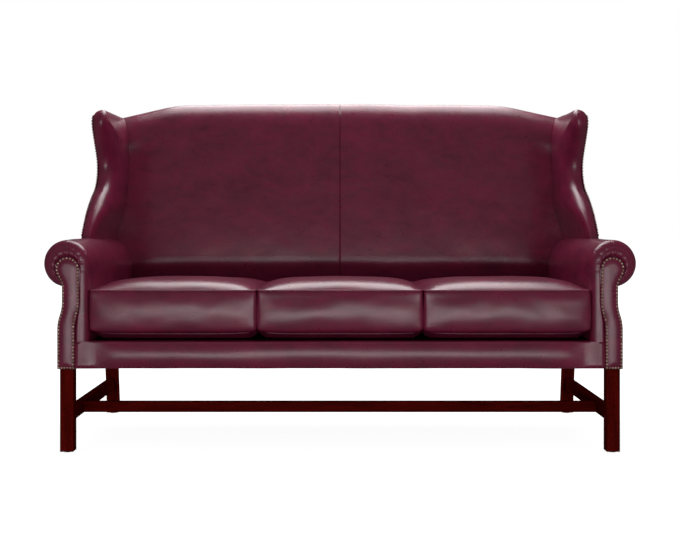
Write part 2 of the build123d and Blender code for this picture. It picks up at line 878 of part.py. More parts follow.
# Front border: leather over wadding, down the face of the front rail and over its top
with BuildPart() as border:
    half_border = neck_inner_x + base_shift - fit_gap
    with BuildSketch(Plane.YZ.offset(-half_border)):
        with BuildLine():
            Polyline(
                (border_front_y, deck_height),
                (border_front_y + border_lip, deck_height),
                (border_front_y + border_lip, seat_base),
                (rail_front_y, seat_base),
                (rail_front_y, frame_underside),
                (border_front_y, frame_underside),
            )
            ThreePointArc(
                (border_front_y, frame_underside),
                (border_front_y - border_bulge, (frame_underside + deck_height) / 2),
                (border_front_y, deck_height),
            )
        make_face()
    extrude(amount=2 * half_border)
    top_front = border.edges().filter_by(Axis.X).group_by(Axis.Z)[-1].sort_by(Axis.Y)[0]
    fillet(top_front, border_round)
    add(arm_cut, mode=Mode.SUBTRACT)
    add(mirror(arm_cut, about=Plane.YZ), mode=Mode.SUBTRACT)
save(border.part, "front_border")

# Deck under the cushions, between the border, the arms and the back
deck_front_y = border_front_y + border_lip
with BuildPart() as deck:
    with BuildSketch(Plane.XY.offset(seat_base)):
        with Locations((0, deck_front_y)):
            Rectangle(
                seat_width_front,
                back_y(deck_height, back_thickness) - deck_front_y,
                align=(Align.CENTER, Align.MIN),
            )
    extrude(amount=deck_thickness)
    add(back_cut, mode=Mode.SUBTRACT)
    add(arm_cut, mode=Mode.SUBTRACT)
    add(mirror(arm_cut, about=Plane.YZ), mode=Mode.SUBTRACT)
save(deck.part, "seat_deck")

# Seat cushions, each lofted through sections at these shares of its height and its tuck
side_shares = ((0.0, 1.0), (0.1, 0.28), (0.32, 0.0), (0.9, 0.04), (1.0, 0.22))
crown_shares = ((0.0, 0.22), (0.55, 2.6), (1.0, 6.6))
cushion_pitch = seat_width_front / 3
cushion_width = cushion_pitch - cushion_gap
cushion_front_y = front_y + cushion_front_setback
cushion_base = deck_height + fit_gap
cushion_rim = cushion_base + cushion_height
taper_share = (seat_width_front - seat_width_back) / 2 / arm_length


def cushion_outline(number, height, inset):
    """A level section of cushion 0, 1 or 2 from the left, with round corners."""
    left = (number - 1) * cushion_pitch - cushion_width / 2 + inset
    right = left + cushion_width - 2 * inset
    front = cushion_front_y + inset
    back = back_y(height, back_thickness) - cushion_gap - inset
    narrowing = taper_share * (back - arm_front_y) + cushion_gap
    with BuildSketch() as outline:
        with BuildLine():
            Polyline(
                (left, front),
                (right, front),
                (right - (narrowing if number == 2 else 0), back),
                (left + (narrowing if number == 0 else 0), back),
                close=True,
            )
        make_face()
        fillet(outline.vertices(), cushion_corner)
    return outline.sketch


def cushion_form(number, inset, step):
    """A cushion inside its leather surface, lofted up its drawn-in sides and over its crown."""
    low = cushion_base + inset
    with BuildPart() as form:
        for up, tuck in side_shares[::step]:
            level = low + (cushion_height - inset) * up
            with BuildSketch(Plane.XY.offset(level)):
                add(cushion_outline(number, level, inset + cushion_tuck * tuck))
        loft(ruled=True)
        for up, tuck in crown_shares[::step]:
            level = cushion_rim + (cushion_crown - inset) * up
            with BuildSketch(Plane.XY.offset(level)):
                add(cushion_outline(number, level, inset + cushion_tuck * tuck))
        loft(ruled=True)
    return form.part


for number, name in enumerate(("left", "centre", "right")):
    with BuildPart() as filling:
        add(cushion_form(number, leather, 2))
    save(filling.part, f"seat_cushion_filling_{name}")
    with BuildPart() as cover:
        add(cushion_form(number, 0, 1))
        add(filling.part, mode=Mode.SUBTRACT)
    save(cover.part, f"seat_cushion_cover_{name}")
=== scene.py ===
import math
from bisect import bisect
from math import cos, pi, radians, sin, sqrt, tan

import bmesh
import bpy
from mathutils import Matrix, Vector, noise


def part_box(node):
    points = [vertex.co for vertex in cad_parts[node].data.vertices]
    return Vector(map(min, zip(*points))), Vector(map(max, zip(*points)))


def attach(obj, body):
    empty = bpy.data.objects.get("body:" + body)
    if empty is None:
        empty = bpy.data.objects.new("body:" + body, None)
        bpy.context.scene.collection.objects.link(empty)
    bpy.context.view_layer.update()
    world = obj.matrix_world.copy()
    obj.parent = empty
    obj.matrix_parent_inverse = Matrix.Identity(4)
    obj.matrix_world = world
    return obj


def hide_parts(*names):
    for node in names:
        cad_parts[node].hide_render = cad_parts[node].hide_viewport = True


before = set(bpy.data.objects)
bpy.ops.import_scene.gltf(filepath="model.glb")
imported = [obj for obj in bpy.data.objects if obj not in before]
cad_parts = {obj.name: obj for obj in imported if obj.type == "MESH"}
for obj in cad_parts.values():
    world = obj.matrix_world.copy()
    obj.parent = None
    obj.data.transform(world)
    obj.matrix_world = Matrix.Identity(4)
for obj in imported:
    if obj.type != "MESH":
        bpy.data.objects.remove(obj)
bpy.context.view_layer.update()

# A three-seat wing sofa in burgundy leather. Lengths are in millimetres until a mesh is made.
MM = 0.001

# Sizes, most of them shared with the frame
FRONT_Y = -405.0
LEG_FRONT_Y = -397.0
BASE_DEPTH = 666.0
FRAME_UNDERSIDE = 266.0
SEAT_BASE = 345.0
DECK_TOP = 351.8
DECK_FRONT_Y = -360.8
DECK_REAR_Y = 173.8
ARM_HEIGHT = 671.0
ROLL_RADIUS = 74.5
ROLL_X = 863.5
ROLL_Z = 596.5
ARM_INNER_X = 792.5
ARM_CLOSING = 17.0
ARM_FRONT_Y = -403.0
ARM_FRONT_ROUND = 26.0
ARM_REAR_WIDE = 98.0
ARM_REAR_HIGH = 118.0
HEAD_RADIUS = 38.0
HEAD_X = 858.6
HEAD_Z = 581.0
NECK_INNER_X = 820.0
NECK_OUTER_X = 875.6
NECK_TOP = 515.0
NECK_BOTTOM = 480.0
BASE_TOP = 385.0
BASE_SHIFT = 15.0
FACING_BOTTOM = 264.0
FACING_THICKNESS = 8.0
HEAD_END = radians(20)
NAIL_RADIUS = 4.5
NAIL_HEIGHT = 3.0
NAIL_PITCH = 10.8
NAIL_MARGIN = 5.2
NAIL_ROW_STOP = 14.0
PLEAT_DEPTH = 3.6
PANEL = 3.0
SLOPE = radians(8.8)
BACK_FOOT_Y = LEG_FRONT_Y + BASE_DEPTH + PANEL / cos(SLOPE) + 0.3
BACK_THICKNESS = 110.0
BACK_SEAM = 0.4
BACK_EDGE = 862.0
CREST_TOP = 919.5
CREST_SHOULDER = 626.0
CREST_CROWN = 5.0
CREST_END_DROP = 64.0
CREST_HALF = 880.0
CREST_BEND = (CREST_SHOULDER - 53, CREST_SHOULDER + 52)
CREST_FRONT_ROUND = 70.0
CREST_FRONT_DROP = 112.0
CREST_REAR_ROUND = 28.0
BACK_BOTTOM = (SEAT_BASE - FRAME_UNDERSIDE) / cos(SLOPE)
TOE = radians(2)
WING_X = 895.5
WING_TOP = 1127.0
WING_REACH = 268.0
WING_SWEEP = 430.0
WING_HOLLOW = 90.0
WING_BROW = 60.0
WING_NOSE = 40.0
WING_FACE = 28.0
WING_TOP_FACE = 40.0
WING_THIN = 38.0
WING_THICK = 64.0
WING_SHEET_MARGIN = 8.0
WING_PANEL_MARGIN = 1.5
WING_RIM_FRONT = 16.0
WING_RIM_TOP = 23.0
WING_TOP_START = 1020.0
WING_TOP_END = 1105.0
CUSHION_PITCH = 526.0
CUSHION_WIDTH = 524.5
CUSHION_FRONT_Y = -401.0
CUSHION_BASE = 352.3
CUSHION_HEIGHT = 159.0
CUSHION_CROWN = 36.0
CUSHION_CORNER = 9.0
CUSHION_GROWTH = 1.6
CUSHION_REAR_GAP = 4.0
CUSHION_BELLY = 11.5
CUSHION_TUCK = 24.0
CUSHION_LIP = 21.0
CUSHION_LIP_RUN = 80.0
CUSHION_DIP = 13.0
CORD_RADII = {"lower": 2.2, "upper": 2.9}
BORDER_REAR_Y = -391.0
BORDER_FACE_Y = -403.0
BORDER_LIP_Y = -361.0
BORDER_FOOT = 268.5
BORDER_BROW = 346.0
BORDER_ROUND = 6.0

# The studio, in metres
FLOOR_SPAN = 30.0
GLOSSY_WHITE = 0.1
WORLD_FILL = 0.55
CAMERA_PLACE = (0.0, -3.697, 0.7405)
CAMERA_LENS = 55.4
CAMERA_SHIFT = -57 / 680


def lerp(a, b, t):
    return a + (b - a) * t


def even(count):
    """Shares from 0 to 1 in that many even steps."""
    return [n / count for n in range(count + 1)]


def quarter(count):
    """Angles from 0 to a quarter turn in that many even steps."""
    return [pi / 2 * n / count for n in range(count + 1)]


def spread(count, close):
    """Places from -1 to 1, even or by a share closer together near the ends."""
    places = [-1 + 2 * n / count for n in range(count + 1)]
    return [sin(pi / 2 * place) * close + place * (1 - close) for place in places]


def ease(t):
    """0 below 0, 1 above 1, and a smooth rise between them."""
    t = min(1.0, max(0.0, t))
    return t * t * (3 - 2 * t)


def back_y(height, depth):
    """Y of the reclined back at a height, that far forward of its rear."""
    return BACK_FOOT_Y + (height - FRAME_UNDERSIDE) * tan(SLOPE) - depth / cos(SLOPE)


def on_back(x, up, depth):
    """A point of the reclined back from its distance up the slope and its depth."""
    return Vector((x, BACK_FOOT_Y + up * sin(SLOPE) - depth * cos(SLOPE),
                   FRAME_UNDERSIDE + up * cos(SLOPE) + depth * sin(SLOPE)))


def on_wing(along, height, out):
    """A point of the right wing from its distance behind the leg, its height and its offset."""
    return Vector((WING_X - along * sin(TOE) + out * cos(TOE),
                   LEG_FRONT_Y + along * cos(TOE) + out * sin(TOE), height))


# Paths
def cubic(a, b, c, d, t):
    """The place at t on a cubic curve."""
    return a * (1 - t) ** 3 + b * 3 * t * (1 - t) ** 2 + c * 3 * t * t * (1 - t) + d * t ** 3


def run_path(start, heading, steps, spacing=4.0):
    """Points along straight runs (None, length) and tangent arcs (radius, turn in degrees)."""
    points = [Vector(start)]
    angle = radians(heading)
    for radius, amount in steps:
        if radius is None:
            count = max(1, round(amount / spacing))
            for _ in range(count):
                points.append(points[-1] + Vector((cos(angle), sin(angle))) * (amount / count))
        else:
            count = max(3, round(abs(radians(amount)) * radius / spacing))
            bit = radians(amount) / count
            for _ in range(count):
                chord = 2 * radius * sin(abs(bit) / 2)
                run = Vector((cos(angle + bit / 2), sin(angle + bit / 2)))
                points.append(points[-1] + run * chord)
                angle += bit
    return points


def bend_path(*corners):
    """Points along a cubic curve."""
    corners = [Vector(corner) for corner in corners]
    return [cubic(*corners, t) for t in even(14)]


def joined(*runs):
    """One list of points from runs that meet end to end."""
    points = []
    for run in runs:
        for point in run:
            point = Vector(point)
            if not points or (point - points[-1]).length > 1e-4:
                points.append(point)
    return points


class Trail:
    """A line of points: its place at a share of its length, and how far off a point is."""

    def __init__(self, points):
        self.points = [Vector(p) for p in points]
        self.reach = [0.0]
        for a, b in zip(self.points, self.points[1:]):
            self.reach.append(self.reach[-1] + (b - a).length)
        self.length = self.reach[-1]

    def at(self, share):
        goal = min(1.0, max(0.0, share)) * self.length
        high = min(bisect(self.reach, goal), len(self.reach) - 1)
        step = self.reach[high] - self.reach[high - 1]
        t = (goal - self.reach[high - 1]) / step if step else 0.0
        return self.points[high - 1].lerp(self.points[high], t)

    def heading(self, share):
        gap = 1.5 / self.length
        return (self.at(share + gap) - self.at(share - gap)).normalized()

    def away(self, point):
        best = 1e18
        for a, b in zip(self.points, self.points[1:]):
            run = b - a
            t = max(0.0, min(1.0, (point - a).dot(run) / max(run.length_squared, 1e-12)))
            best = min(best, (point - a - run * t).length_squared)
        return sqrt(best)


# Meshes
def shown(name, data):
    """An object of that data, in the scene."""
    made = bpy.data.objects.new(name, data)
    bpy.context.scene.collection.objects.link(made)
    return made


def make_piece(name, points, faces, finish, mirrored=False):
    """A smooth-shaded object from points in millimetres, mirrored to the left if asked."""
    side = -1 if mirrored else 1
    mesh = bpy.data.meshes.new(name)
    mesh.from_pydata([(p[0] * side * MM, p[1] * MM, p[2] * MM) for p in points], [], faces)
    tidy = bmesh.new()
    tidy.from_mesh(mesh)
    bmesh.ops.remove_doubles(tidy, verts=tidy.verts, dist=0.00002)
    bmesh.ops.dissolve_degenerate(tidy, edges=tidy.edges, dist=0.00001)
    bmesh.ops.recalc_face_normals(tidy, faces=tidy.faces)
    tidy.to_mesh(mesh)
    tidy.free()
    mesh.materials.append(finish)
    for face in mesh.polygons:
        face.use_smooth = True
    return shown(name, mesh)


def grid_faces(rows, columns, start=0, round_rows=False):
    """Quads over rows of points; the last row may close on the first."""
    faces = []
    for r in range(rows if round_rows else rows - 1):
        for c in range(columns - 1):
            a = start + r * columns + c
            b = start + ((r + 1) % rows) * columns + c
            faces.append((a, a + 1, b + 1, b))
    return faces


def slab(name, pairs, finish, mirrored=False):
    """A closed piece between two grids of one size, given as rows of (outer, inner) points."""
    rows, columns = len(pairs), len(pairs[0])
    points = [pair[k] for k in (0, 1) for row in pairs for pair in row]
    half = rows * columns
    faces = grid_faces(rows, columns)
    faces += [tuple(reversed(f)) for f in grid_faces(rows, columns, half)]
    rim = list(range(columns))
    rim += [r * columns + columns - 1 for r in range(1, rows)]
    rim += [(rows - 1) * columns + c for c in range(columns - 2, -1, -1)]
    rim += [r * columns for r in range(rows - 2, 0, -1)]
    for a, b in zip(rim, rim[1:] + rim[:1]):
        faces.append((a, b, b + half, a + half))
    return make_piece(name, points, faces, finish, mirrored)


def bar(name, loops, finish, mirrored=False):
    """A closed piece through cross-sections of one size, with a flat face at each end."""
    rows, count = len(loops[0]), len(loops)
    points = [loops[c][r] for r in range(rows) for c in range(count)]
    faces = grid_faces(rows, count, round_rows=True)
    faces.append([r * count for r in range(rows)])
    faces.append([r * count + count - 1 for r in range(rows)])
    return make_piece(name, points, faces, finish, mirrored)


def ruffle(piece, amount, size, seed, keep=None):
    """Moves a piece's points along their normals by soft noise, in millimetres."""
    offset = Vector((seed * 7.3, seed * 3.1, seed * 5.7))
    moves = []
    for vertex in piece.data.vertices:
        place = Vector((vertex.co.x / size[0], vertex.co.y / size[1], vertex.co.z / size[2]))
        push = noise.noise(place / MM + offset) * amount * MM
        if keep:
            push *= keep(vertex.co / MM)
        moves.append(vertex.normal * push)
    for vertex, move in zip(piece.data.vertices, moves):
        vertex.co += move


def welt(points, radius, sides=7):
    """Points and faces of a cord of piping along a closed line."""
    ring_points, faces = [], []
    count = len(points)
    for n, point in enumerate(points):
        run = (points[(n + 1) % count] - points[n - 1]).normalized()
        across = run.cross(Vector((0, 0, 1)))
        across = across.normalized() if across.length > 1e-4 else Vector((1, 0, 0))
        up = across.cross(run)
        for k in range(sides):
            turn = 2 * pi * k / sides
            ring_points.append(point + (across * cos(turn) + up * sin(turn)) * radius)
    for n in range(count):
        m = (n + 1) % count
        for k in range(sides):
            j = (k + 1) % sides
            faces.append((n * sides + k, n * sides + j, m * sides + j, m * sides + k))
    return ring_points, faces


# Finishes
def node_adder(tree):
    """A function that adds a node to a tree; inputs go by name or number, nodes by output 0."""
    tree.nodes.clear()

    def node(kind, settings=None, **inputs):
        made = tree.nodes.new(kind)
        for key, value in (settings or {}).items():
            setattr(made, key, value)
        for key, value in inputs.items():
            socket = made.inputs[int(key[1:]) if key[0] == "_" else key.replace("_", " ")]
            if isinstance(value, bpy.types.Node):
                value = value.outputs[0]
            if isinstance(value, bpy.types.NodeSocket):
                tree.links.new(value, socket)
            else:
                socket.default_value = value
        return made

    return node


def new_finish(name):
    """An empty material, the function that adds its nodes, and its place coordinates."""
    finish = bpy.data.materials.new(name)
    finish.use_nodes = True
    node = node_adder(finish.node_tree)
    return finish, node, node("ShaderNodeTexCoord").outputs["Object"]


def surface(node, **inputs):
    """The main shader, laid on the material's surface."""
    node("ShaderNodeOutputMaterial", Surface=node("ShaderNodeBsdfPrincipled", **inputs))


def speckle(node, place, scale, detail, roughness=0.5, distortion=0.0):
    """Cloudy noise over a place."""
    return node("ShaderNodeTexNoise", Vector=place, Scale=scale, Detail=detail,
                Roughness=roughness, Distortion=distortion)


def stretched(node, place, scale):
    """A place, scaled along each axis."""
    return node("ShaderNodeMapping", Vector=place, Scale=scale)


def span(node, value, start, end, low=0.0, high=1.0, kind="LINEAR"):
    """A value spread evenly or smoothly from one range to another."""
    return node("ShaderNodeMapRange", {"interpolation_type": kind}, Value=value, From_Min=low,
                From_Max=high, To_Min=start, To_Max=end)


def bump(node, strength, distance, height, **before):
    """A relief over the surface, or over the relief before it."""
    return node("ShaderNodeBump", Strength=strength, Distance=distance, Height=height, **before)


def maths(node, operation, *values):
    """Arithmetic on one or two values."""
    return node("ShaderNodeMath", {"operation": operation},
                **{f"_{n}": value for n, value in enumerate(values)})


def ramp(node, value, *stops):
    """A colour ramp over a value, from (place, grey or colour) stops."""
    made = node("ShaderNodeValToRGB", Fac=value)
    bits = made.color_ramp.elements
    while len(bits) < len(stops):
        bits.new(0.5)
    for bit, (place, colour) in zip(bits, stops):
        bit.position = place
        bit.color = (colour, colour, colour, 1) if isinstance(colour, float) else (*colour, 1)
    return made


def blend(node, share, a, b, kind="MIX"):
    """One colour over another by a share."""
    a, b = ((*c, 1) if isinstance(c, tuple) else c for c in (a, b))
    return node("ShaderNodeMix", {"data_type": "RGBA", "blend_type": kind},
                _0=share, _6=a, _7=b).outputs[2]


def leather_finish(name, deep, red, worn, roughness):
    """Hand-rubbed leather: clouded colour, a pebbled grain, fine creases and a satin dressing."""
    finish, node, place = new_finish(name)
    laid = stretched(node, place, (0.75, 1.0, 1.3))
    clouds = speckle(node, laid, 13.0, 8.0, 0.74, 0.5)
    flecks = speckle(node, laid, 44.0, 5.0, 0.6, 0.3)
    creases = speckle(node, place, 60.0, 6.0, 0.6, 0.4)
    grain = node("ShaderNodeTexVoronoi", {"feature": "DISTANCE_TO_EDGE"}, Vector=place,
                 Scale=620.0)
    pores = ramp(node, grain, (0.0, 0.0), (0.16, 1.0))
    base = blend(node, ramp(node, clouds, (0.27, 0.0), (0.73, 1.0)), deep, red)
    base = blend(node, ramp(node, flecks, (0.3, 0.1), (0.7, 0.4)), base, worn)
    relief = bump(node, 0.05, 0.0012, creases, Normal=bump(node, 0.12, 0.0005, pores))
    surface(node, Base_Color=blend(node, 0.22, base, pores, "MULTIPLY"),
            Roughness=span(node, flecks, roughness - 0.02, roughness + 0.03, 0.3, 0.7),
            Specular_IOR_Level=0.5, Normal=relief)
    return finish


def wood_finish(name, dark, light, along, roughness, shine):
    """Polished or raw timber with its grain along one axis."""
    finish, node, place = new_finish(name)
    stretch = {axis: 1.6 if axis == along else 22.0 for axis in "xyz"}
    figure = speckle(node, stretched(node, place, tuple(stretch.values())), 2.2, 7.0, 0.6, 1.3)
    stretch[along] = 9.0
    fine = stretched(node, place, tuple(s * 9 for s in stretch.values()))
    pores = speckle(node, fine, 2.0, 4.0)
    base = blend(node, ramp(node, figure, (0.3, 0.0), (0.7, 1.0)), dark, light)
    base = blend(node, ramp(node, pores, (0.36, 0.6), (0.5, 0.0)), base,
                 tuple(c * 0.35 for c in dark))
    surface(node, Base_Color=base, Specular_IOR_Level=shine, Normal=bump(node, 0.3, 0.0005, pores),
            Roughness=span(node, pores, roughness + 0.1, roughness - 0.04, 0.3, 0.7))
    return finish


def brass_finish():
    """Aged brass nail heads, clouded at random between rougher brown tarnish and brighter, smoother
    brass.
    """
    finish, node, place = new_finish("aged brass nails")
    tarnish = speckle(node, place, 160.0, 4.0)
    surface(node, Metallic=0.65, Roughness=span(node, tarnish, 0.42, 0.24),
            Base_Color=blend(node, ramp(node, tarnish, (0.35, 0.0), (0.65, 1.0)),
                             (0.12, 0.075, 0.052), (0.56, 0.41, 0.31)))
    return finish


def woven_finish(name, thread, gap, pitch, roughness):
    """Plain-woven cloth or webbing with that many threads to the metre."""
    finish, node, place = new_finish(name)
    warp, weft = (node("ShaderNodeTexWave", {"bands_direction": axis}, Vector=place, Scale=pitch,
                       Distortion=0.6, Detail_Scale=2.0).outputs["Fac"] for axis in "XY")
    weave = blend(node, 1.0, warp, weft, "MULTIPLY")
    slub = ramp(node, speckle(node, place, 40.0, 5.0), (0.4, 0.0), (0.7, 0.4))
    base = blend(node, slub, blend(node, weave, gap, thread), tuple(c * 0.6 for c in thread))
    surface(node, Base_Color=base, Roughness=roughness, Specular_IOR_Level=0.15,
            Normal=bump(node, 0.4, 0.0004, weave))
    return finish


def plastic_finish():
    """Dark moulded glides with a fine spark texture."""
    finish, node, place = new_finish("moulded glide plastic")
    spark = speckle(node, place, 900.0, 3.0)
    base = ramp(node, spark, (0.3, (0.018, 0.018, 0.018)), (0.7, (0.035, 0.034, 0.033)))
    surface(node, Base_Color=base, Roughness=0.55, Normal=bump(node, 0.2, 0.0002, spark))
    return finish


LEATHER = leather_finish("burgundy rubbed leather", (0.074, 0.0044, 0.021), (0.192, 0.0084, 0.044),
                         (0.105, 0.011, 0.030), 0.29)
POLISHED = {axis: wood_finish(f"polished mahogany along {axis}", (0.034, 0.0014, 0.0010),
                              (0.098, 0.0042, 0.0026), axis, 0.42, 0.0) for axis in "xyz"}
RAW = {axis: wood_finish(f"beech frame along {axis}", (0.36, 0.22, 0.12),
                         (0.52, 0.36, 0.21), axis, 0.62, 0.3) for axis in "xyz"}
BRASS = brass_finish()
LINING = woven_finish("black lining cloth", (0.012, 0.011, 0.012), (0.004, 0.004, 0.004),
                      210.0, 0.9)
WEBBING = woven_finish("jute webbing", (0.48, 0.34, 0.19), (0.22, 0.14, 0.07), 90.0, 0.85)
STUFFING = woven_finish("wadding", (0.74, 0.71, 0.64), (0.62, 0.59, 0.52), 60.0, 0.95)
GLIDE = plastic_finish()


def dress(piece, body, *nodes, fill=None):
    """Puts a leather piece on its body in place of the frame's own solids."""
    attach(piece, body)
    if nodes:
        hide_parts(*nodes)
    return piece


# Inside back, in two panels that meet in a sunk seam
def crest_up(x):
    """The crest's height up the slope: a flat crown, then a fall over the shoulders."""
    x = abs(x)
    fall = (CREST_END_DROP - CREST_CROWN) / (CREST_HALF - CREST_SHOULDER)
    start, end = CREST_BEND
    crown = CREST_TOP - CREST_CROWN * (x / CREST_SHOULDER) ** 2
    if x <= start:
        return crown
    slope_line = CREST_TOP - CREST_CROWN - fall * (x - CREST_SHOULDER)
    if x >= end:
        return slope_line
    t = (x - start) / (end - start)
    low = CREST_TOP - CREST_CROWN * (start / CREST_SHOULDER) ** 2
    high = CREST_TOP - CREST_CROWN - fall * (end - CREST_SHOULDER)
    steep = -2 * CREST_CROWN * start / CREST_SHOULDER ** 2 * (end - start)
    return (
        (2 * t ** 3 - 3 * t ** 2 + 1) * low + (t ** 3 - 2 * t ** 2 + t) * steep
        + (3 * t ** 2 - 2 * t ** 3) * high + (t ** 3 - t ** 2) * -fall * (end - start)
    )


def back_fullness(x, height):
    """How far the padded back stands forward of its flat face, in millimetres."""
    belly = max(0.0, min(1.0, (height - 560) / (1120 - 560)))
    full = 6.5 * sin(pi * belly ** 0.52) * (1 - (abs(x) / 820) ** 4 if abs(x) < 820 else 0)
    tuck = -30.0 * (1 - ease((height - 497) / 96)) ** 1.3
    side = -9.0 * ease((abs(x) - 690) / 110) * ease((height - 480) / 60)
    return full + tuck + side


def back_section(x, sink):
    """Places (up, depth) round the back at one distance from the middle."""
    top = crest_up(x) - sink
    turn, drop = CREST_FRONT_ROUND, CREST_FRONT_DROP
    places = []
    for share in even(45):
        up = lerp(BACK_BOTTOM, top - drop, share)
        height = FRAME_UNDERSIDE + up * cos(SLOPE) + BACK_THICKNESS * sin(SLOPE)
        room = ease((top - drop - up) / 60)
        places.append((up, BACK_THICKNESS - sink + back_fullness(x, height) * room))
    for a in quarter(16)[1:]:
        places.append((top - drop + drop * sin(a), BACK_THICKNESS - sink - turn + turn * cos(a)))
    rear = PANEL + CREST_REAR_ROUND
    places.append((top, lerp(BACK_THICKNESS - sink - turn, rear, 0.5)))
    for a in quarter(8):
        places.append((top - CREST_REAR_ROUND * (1 - cos(a)), rear - CREST_REAR_ROUND * sin(a)))
    places += [(lerp(top - CREST_REAR_ROUND, BACK_BOTTOM, t), PANEL) for t in even(7)[1:]]
    return places


def back_panel(name, mirrored):
    """Half of the inside back, from the seam to the wing."""
    shares = [0.0, 0.0006, 0.0015, 0.003, 0.005, 0.008, 0.012, 0.018]
    shares += [lerp(0.018, 1, share) for share in even(74)[1:]]
    columns = []
    for share in shares:
        x = lerp(BACK_SEAM, BACK_EDGE, share)
        sink = 3.4 * (1 - sqrt(1 - (1 - min(1.0, x / 5.5)) ** 2))
        column = []
        for up, depth in back_section(x, sink):
            point = on_back(x, up, depth)
            edge = WING_X - PANEL - (point.y - LEG_FRONT_Y) * tan(TOE)
            point.x = lerp(BACK_SEAM, edge, share)
            column.append(point)
        columns.append(column)
    piece = bar(name, columns, LEATHER, mirrored)
    ruffle(piece, 2.6, (240, 300, 210), 3, lambda p: ease(abs(p.x) / 60))
    ruffle(piece, 0.8, (70, 90, 60), 5, lambda p: ease(abs(p.x) / 60))
    return piece


dress(back_panel("inside_back_right_panel", False), "frame",
      "inside_back_cover_right", "inside_back_padding", fill=0.9)
dress(back_panel("inside_back_left_panel", True), "frame", "inside_back_cover_left", fill=0.9)


# Wings
def wing_path():
    """The wing's free edge from inside the arm up over its brow to the rear."""
    foot, waist, slant = radians(62), radians(30), radians(122)
    rise = (
        WING_TOP - ARM_HEIGHT - WING_SWEEP * (cos(waist) - cos(foot))
        - WING_HOLLOW * (cos(waist) - cos(slant)) + WING_BROW * cos(slant) - WING_NOSE
    ) / sin(slant)
    sunk = ARM_HEIGHT - ROLL_Z
    front = run_path((WING_REACH - sunk / tan(foot), ROLL_Z), 62, [
        (None, sunk / sin(foot)), (WING_SWEEP, -32), (WING_HOLLOW, 92),
        (None, rise), (WING_BROW, -32), (WING_NOSE, -45),
    ])
    top = run_path(front[-1], 45, [(WING_NOSE, -45)])
    return front, joined(top, [(back_y(WING_TOP, PANEL) - LEG_FRONT_Y, WING_TOP)])


def wing_rim_path(margin):
    """The outer rim that the nails follow, as its front part and its top part."""
    front, top = wing_path()
    whole = Trail(joined(front, top))
    count = 260
    points = []
    for n in range(count + 1):
        place, run = whole.at(n / count), whole.heading(n / count)
        points.append(place + Vector((run.y, -run.x)) * (
            wing_shoulder(place.y) - WING_SHEET_MARGIN + margin))
    corner = min(range(count + 1), key=lambda n: (points[n] - front[-1]).length)
    return points[:corner + 1], points[corner:]


def wing_grid(u_shares, v_shares, path):
    """Places over the wing's side: rows go up, columns go back."""
    front, top = path
    left, upper = Trail(front), Trail(top)
    low, corner, rear_top = front[0], front[-1], top[-1]
    rear_low = Vector((back_y(ROLL_Z, PANEL) - LEG_FRONT_Y, ROLL_Z))
    grid = []
    for v in v_shares:
        grid.append([])
        for u in u_shares:
            edge = left.at(v).lerp(rear_low.lerp(rear_top, v), u)
            level = low.lerp(rear_low, u).lerp(upper.at(u), v)
            flat = low.lerp(rear_low, u).lerp(corner.lerp(rear_top, u), v)
            grid[-1].append(edge + level - flat)
    return grid, Trail(joined(front, top))


def on_top(height):
    """0 along the wing's front edge, 1 on its top."""
    return ease((height - WING_TOP_START) / (WING_TOP_END - WING_TOP_START))


def wing_shoulder(height):
    """How far the wing's outer rim stands in from its nose: little at the front, more on top."""
    return lerp(WING_RIM_FRONT, WING_RIM_TOP, on_top(height))


def wing_cover(name, mirrored):
    """The padded wing: round over its nose and brow, with a full inner face."""
    rim = [pi / 2 * (1 - n / 9) for n in range(9)]
    steps_u = [0.0] * len(rim) + [share ** 1.9 for share in even(46)]
    steps_v = [1 - (1 - share) ** 1.7 for share in even(68)] + [1.0] * len(rim)
    grid, edge = wing_grid(steps_u, steps_v, wing_path())
    flat, _ = wing_grid(steps_u, steps_v, wing_rim_path(WING_SHEET_MARGIN))
    last = len(steps_v) - 1
    pairs, normals, shares = [], {}, even(500)
    for r, row in enumerate(grid):
        pairs.append([])
        for c, place in enumerate(row):
            level = min(c, last - r)
            off = edge.away(place)
            top = on_top(place.y + 0.4 * off)
            face = lerp(WING_TOP_FACE, WING_FACE, ease((place.x - 300) / 360))
            nose = lerp(WING_FACE, face, top)
            if level < len(rim):
                inset = wing_shoulder(place.y) * (1 - cos(rim[level]))
                out = -nose + (nose - PANEL) * sin(rim[level])
                key = (round(place.x, 2), round(place.y, 2))
                if key not in normals:
                    nearest = min(shares, key=lambda share: (edge.at(share) - place).length_squared)
                    run = edge.heading(nearest)
                    normals[key] = Vector((run.y, -run.x))
                place = place + normals[key] * inset
            else:
                reach = lerp(66.0, 105.0, top)
                turn = 1 - min(off, reach) / reach
                thick = lerp(WING_THIN, WING_THICK, ease((place.y - 660) / 130))
                out = -nose - (thick - nose) * sqrt(1 - turn ** 2)
                out -= 6.0 * ease((off - 30) / 90) * ease((place.y - 700) / 120)
            pairs[-1].append((on_wing(place.x, place.y, out), on_wing(*flat[r][c], -PANEL)))
    piece = slab(name, pairs, LEATHER, mirrored)
    ruffle(piece, 2.0, (120, 150, 110), 11)
    ruffle(piece, 0.7, (38, 60, 34), 13)
    return piece


def wing_side(name, mirrored):
    """The leather panel on the outside of the wing, tight over thin wadding."""
    steps_u = [share ** 1.5 for share in even(30)]
    steps_v = [1 - (1 - share) ** 1.4 for share in even(46)]
    grid, edge = wing_grid(steps_u, steps_v, wing_rim_path(WING_PANEL_MARGIN))
    pairs = []
    for row in grid:
        pairs.append([])
        for place in row:
            off = edge.away(place)
            out = -1.6 * (1 - ease(off / 3.0)) + 2.4 * ease((off - 14) / 70)
            pairs[-1].append((on_wing(*place, out), on_wing(*place, -PANEL)))
    return slab(name, pairs, LEATHER, mirrored)


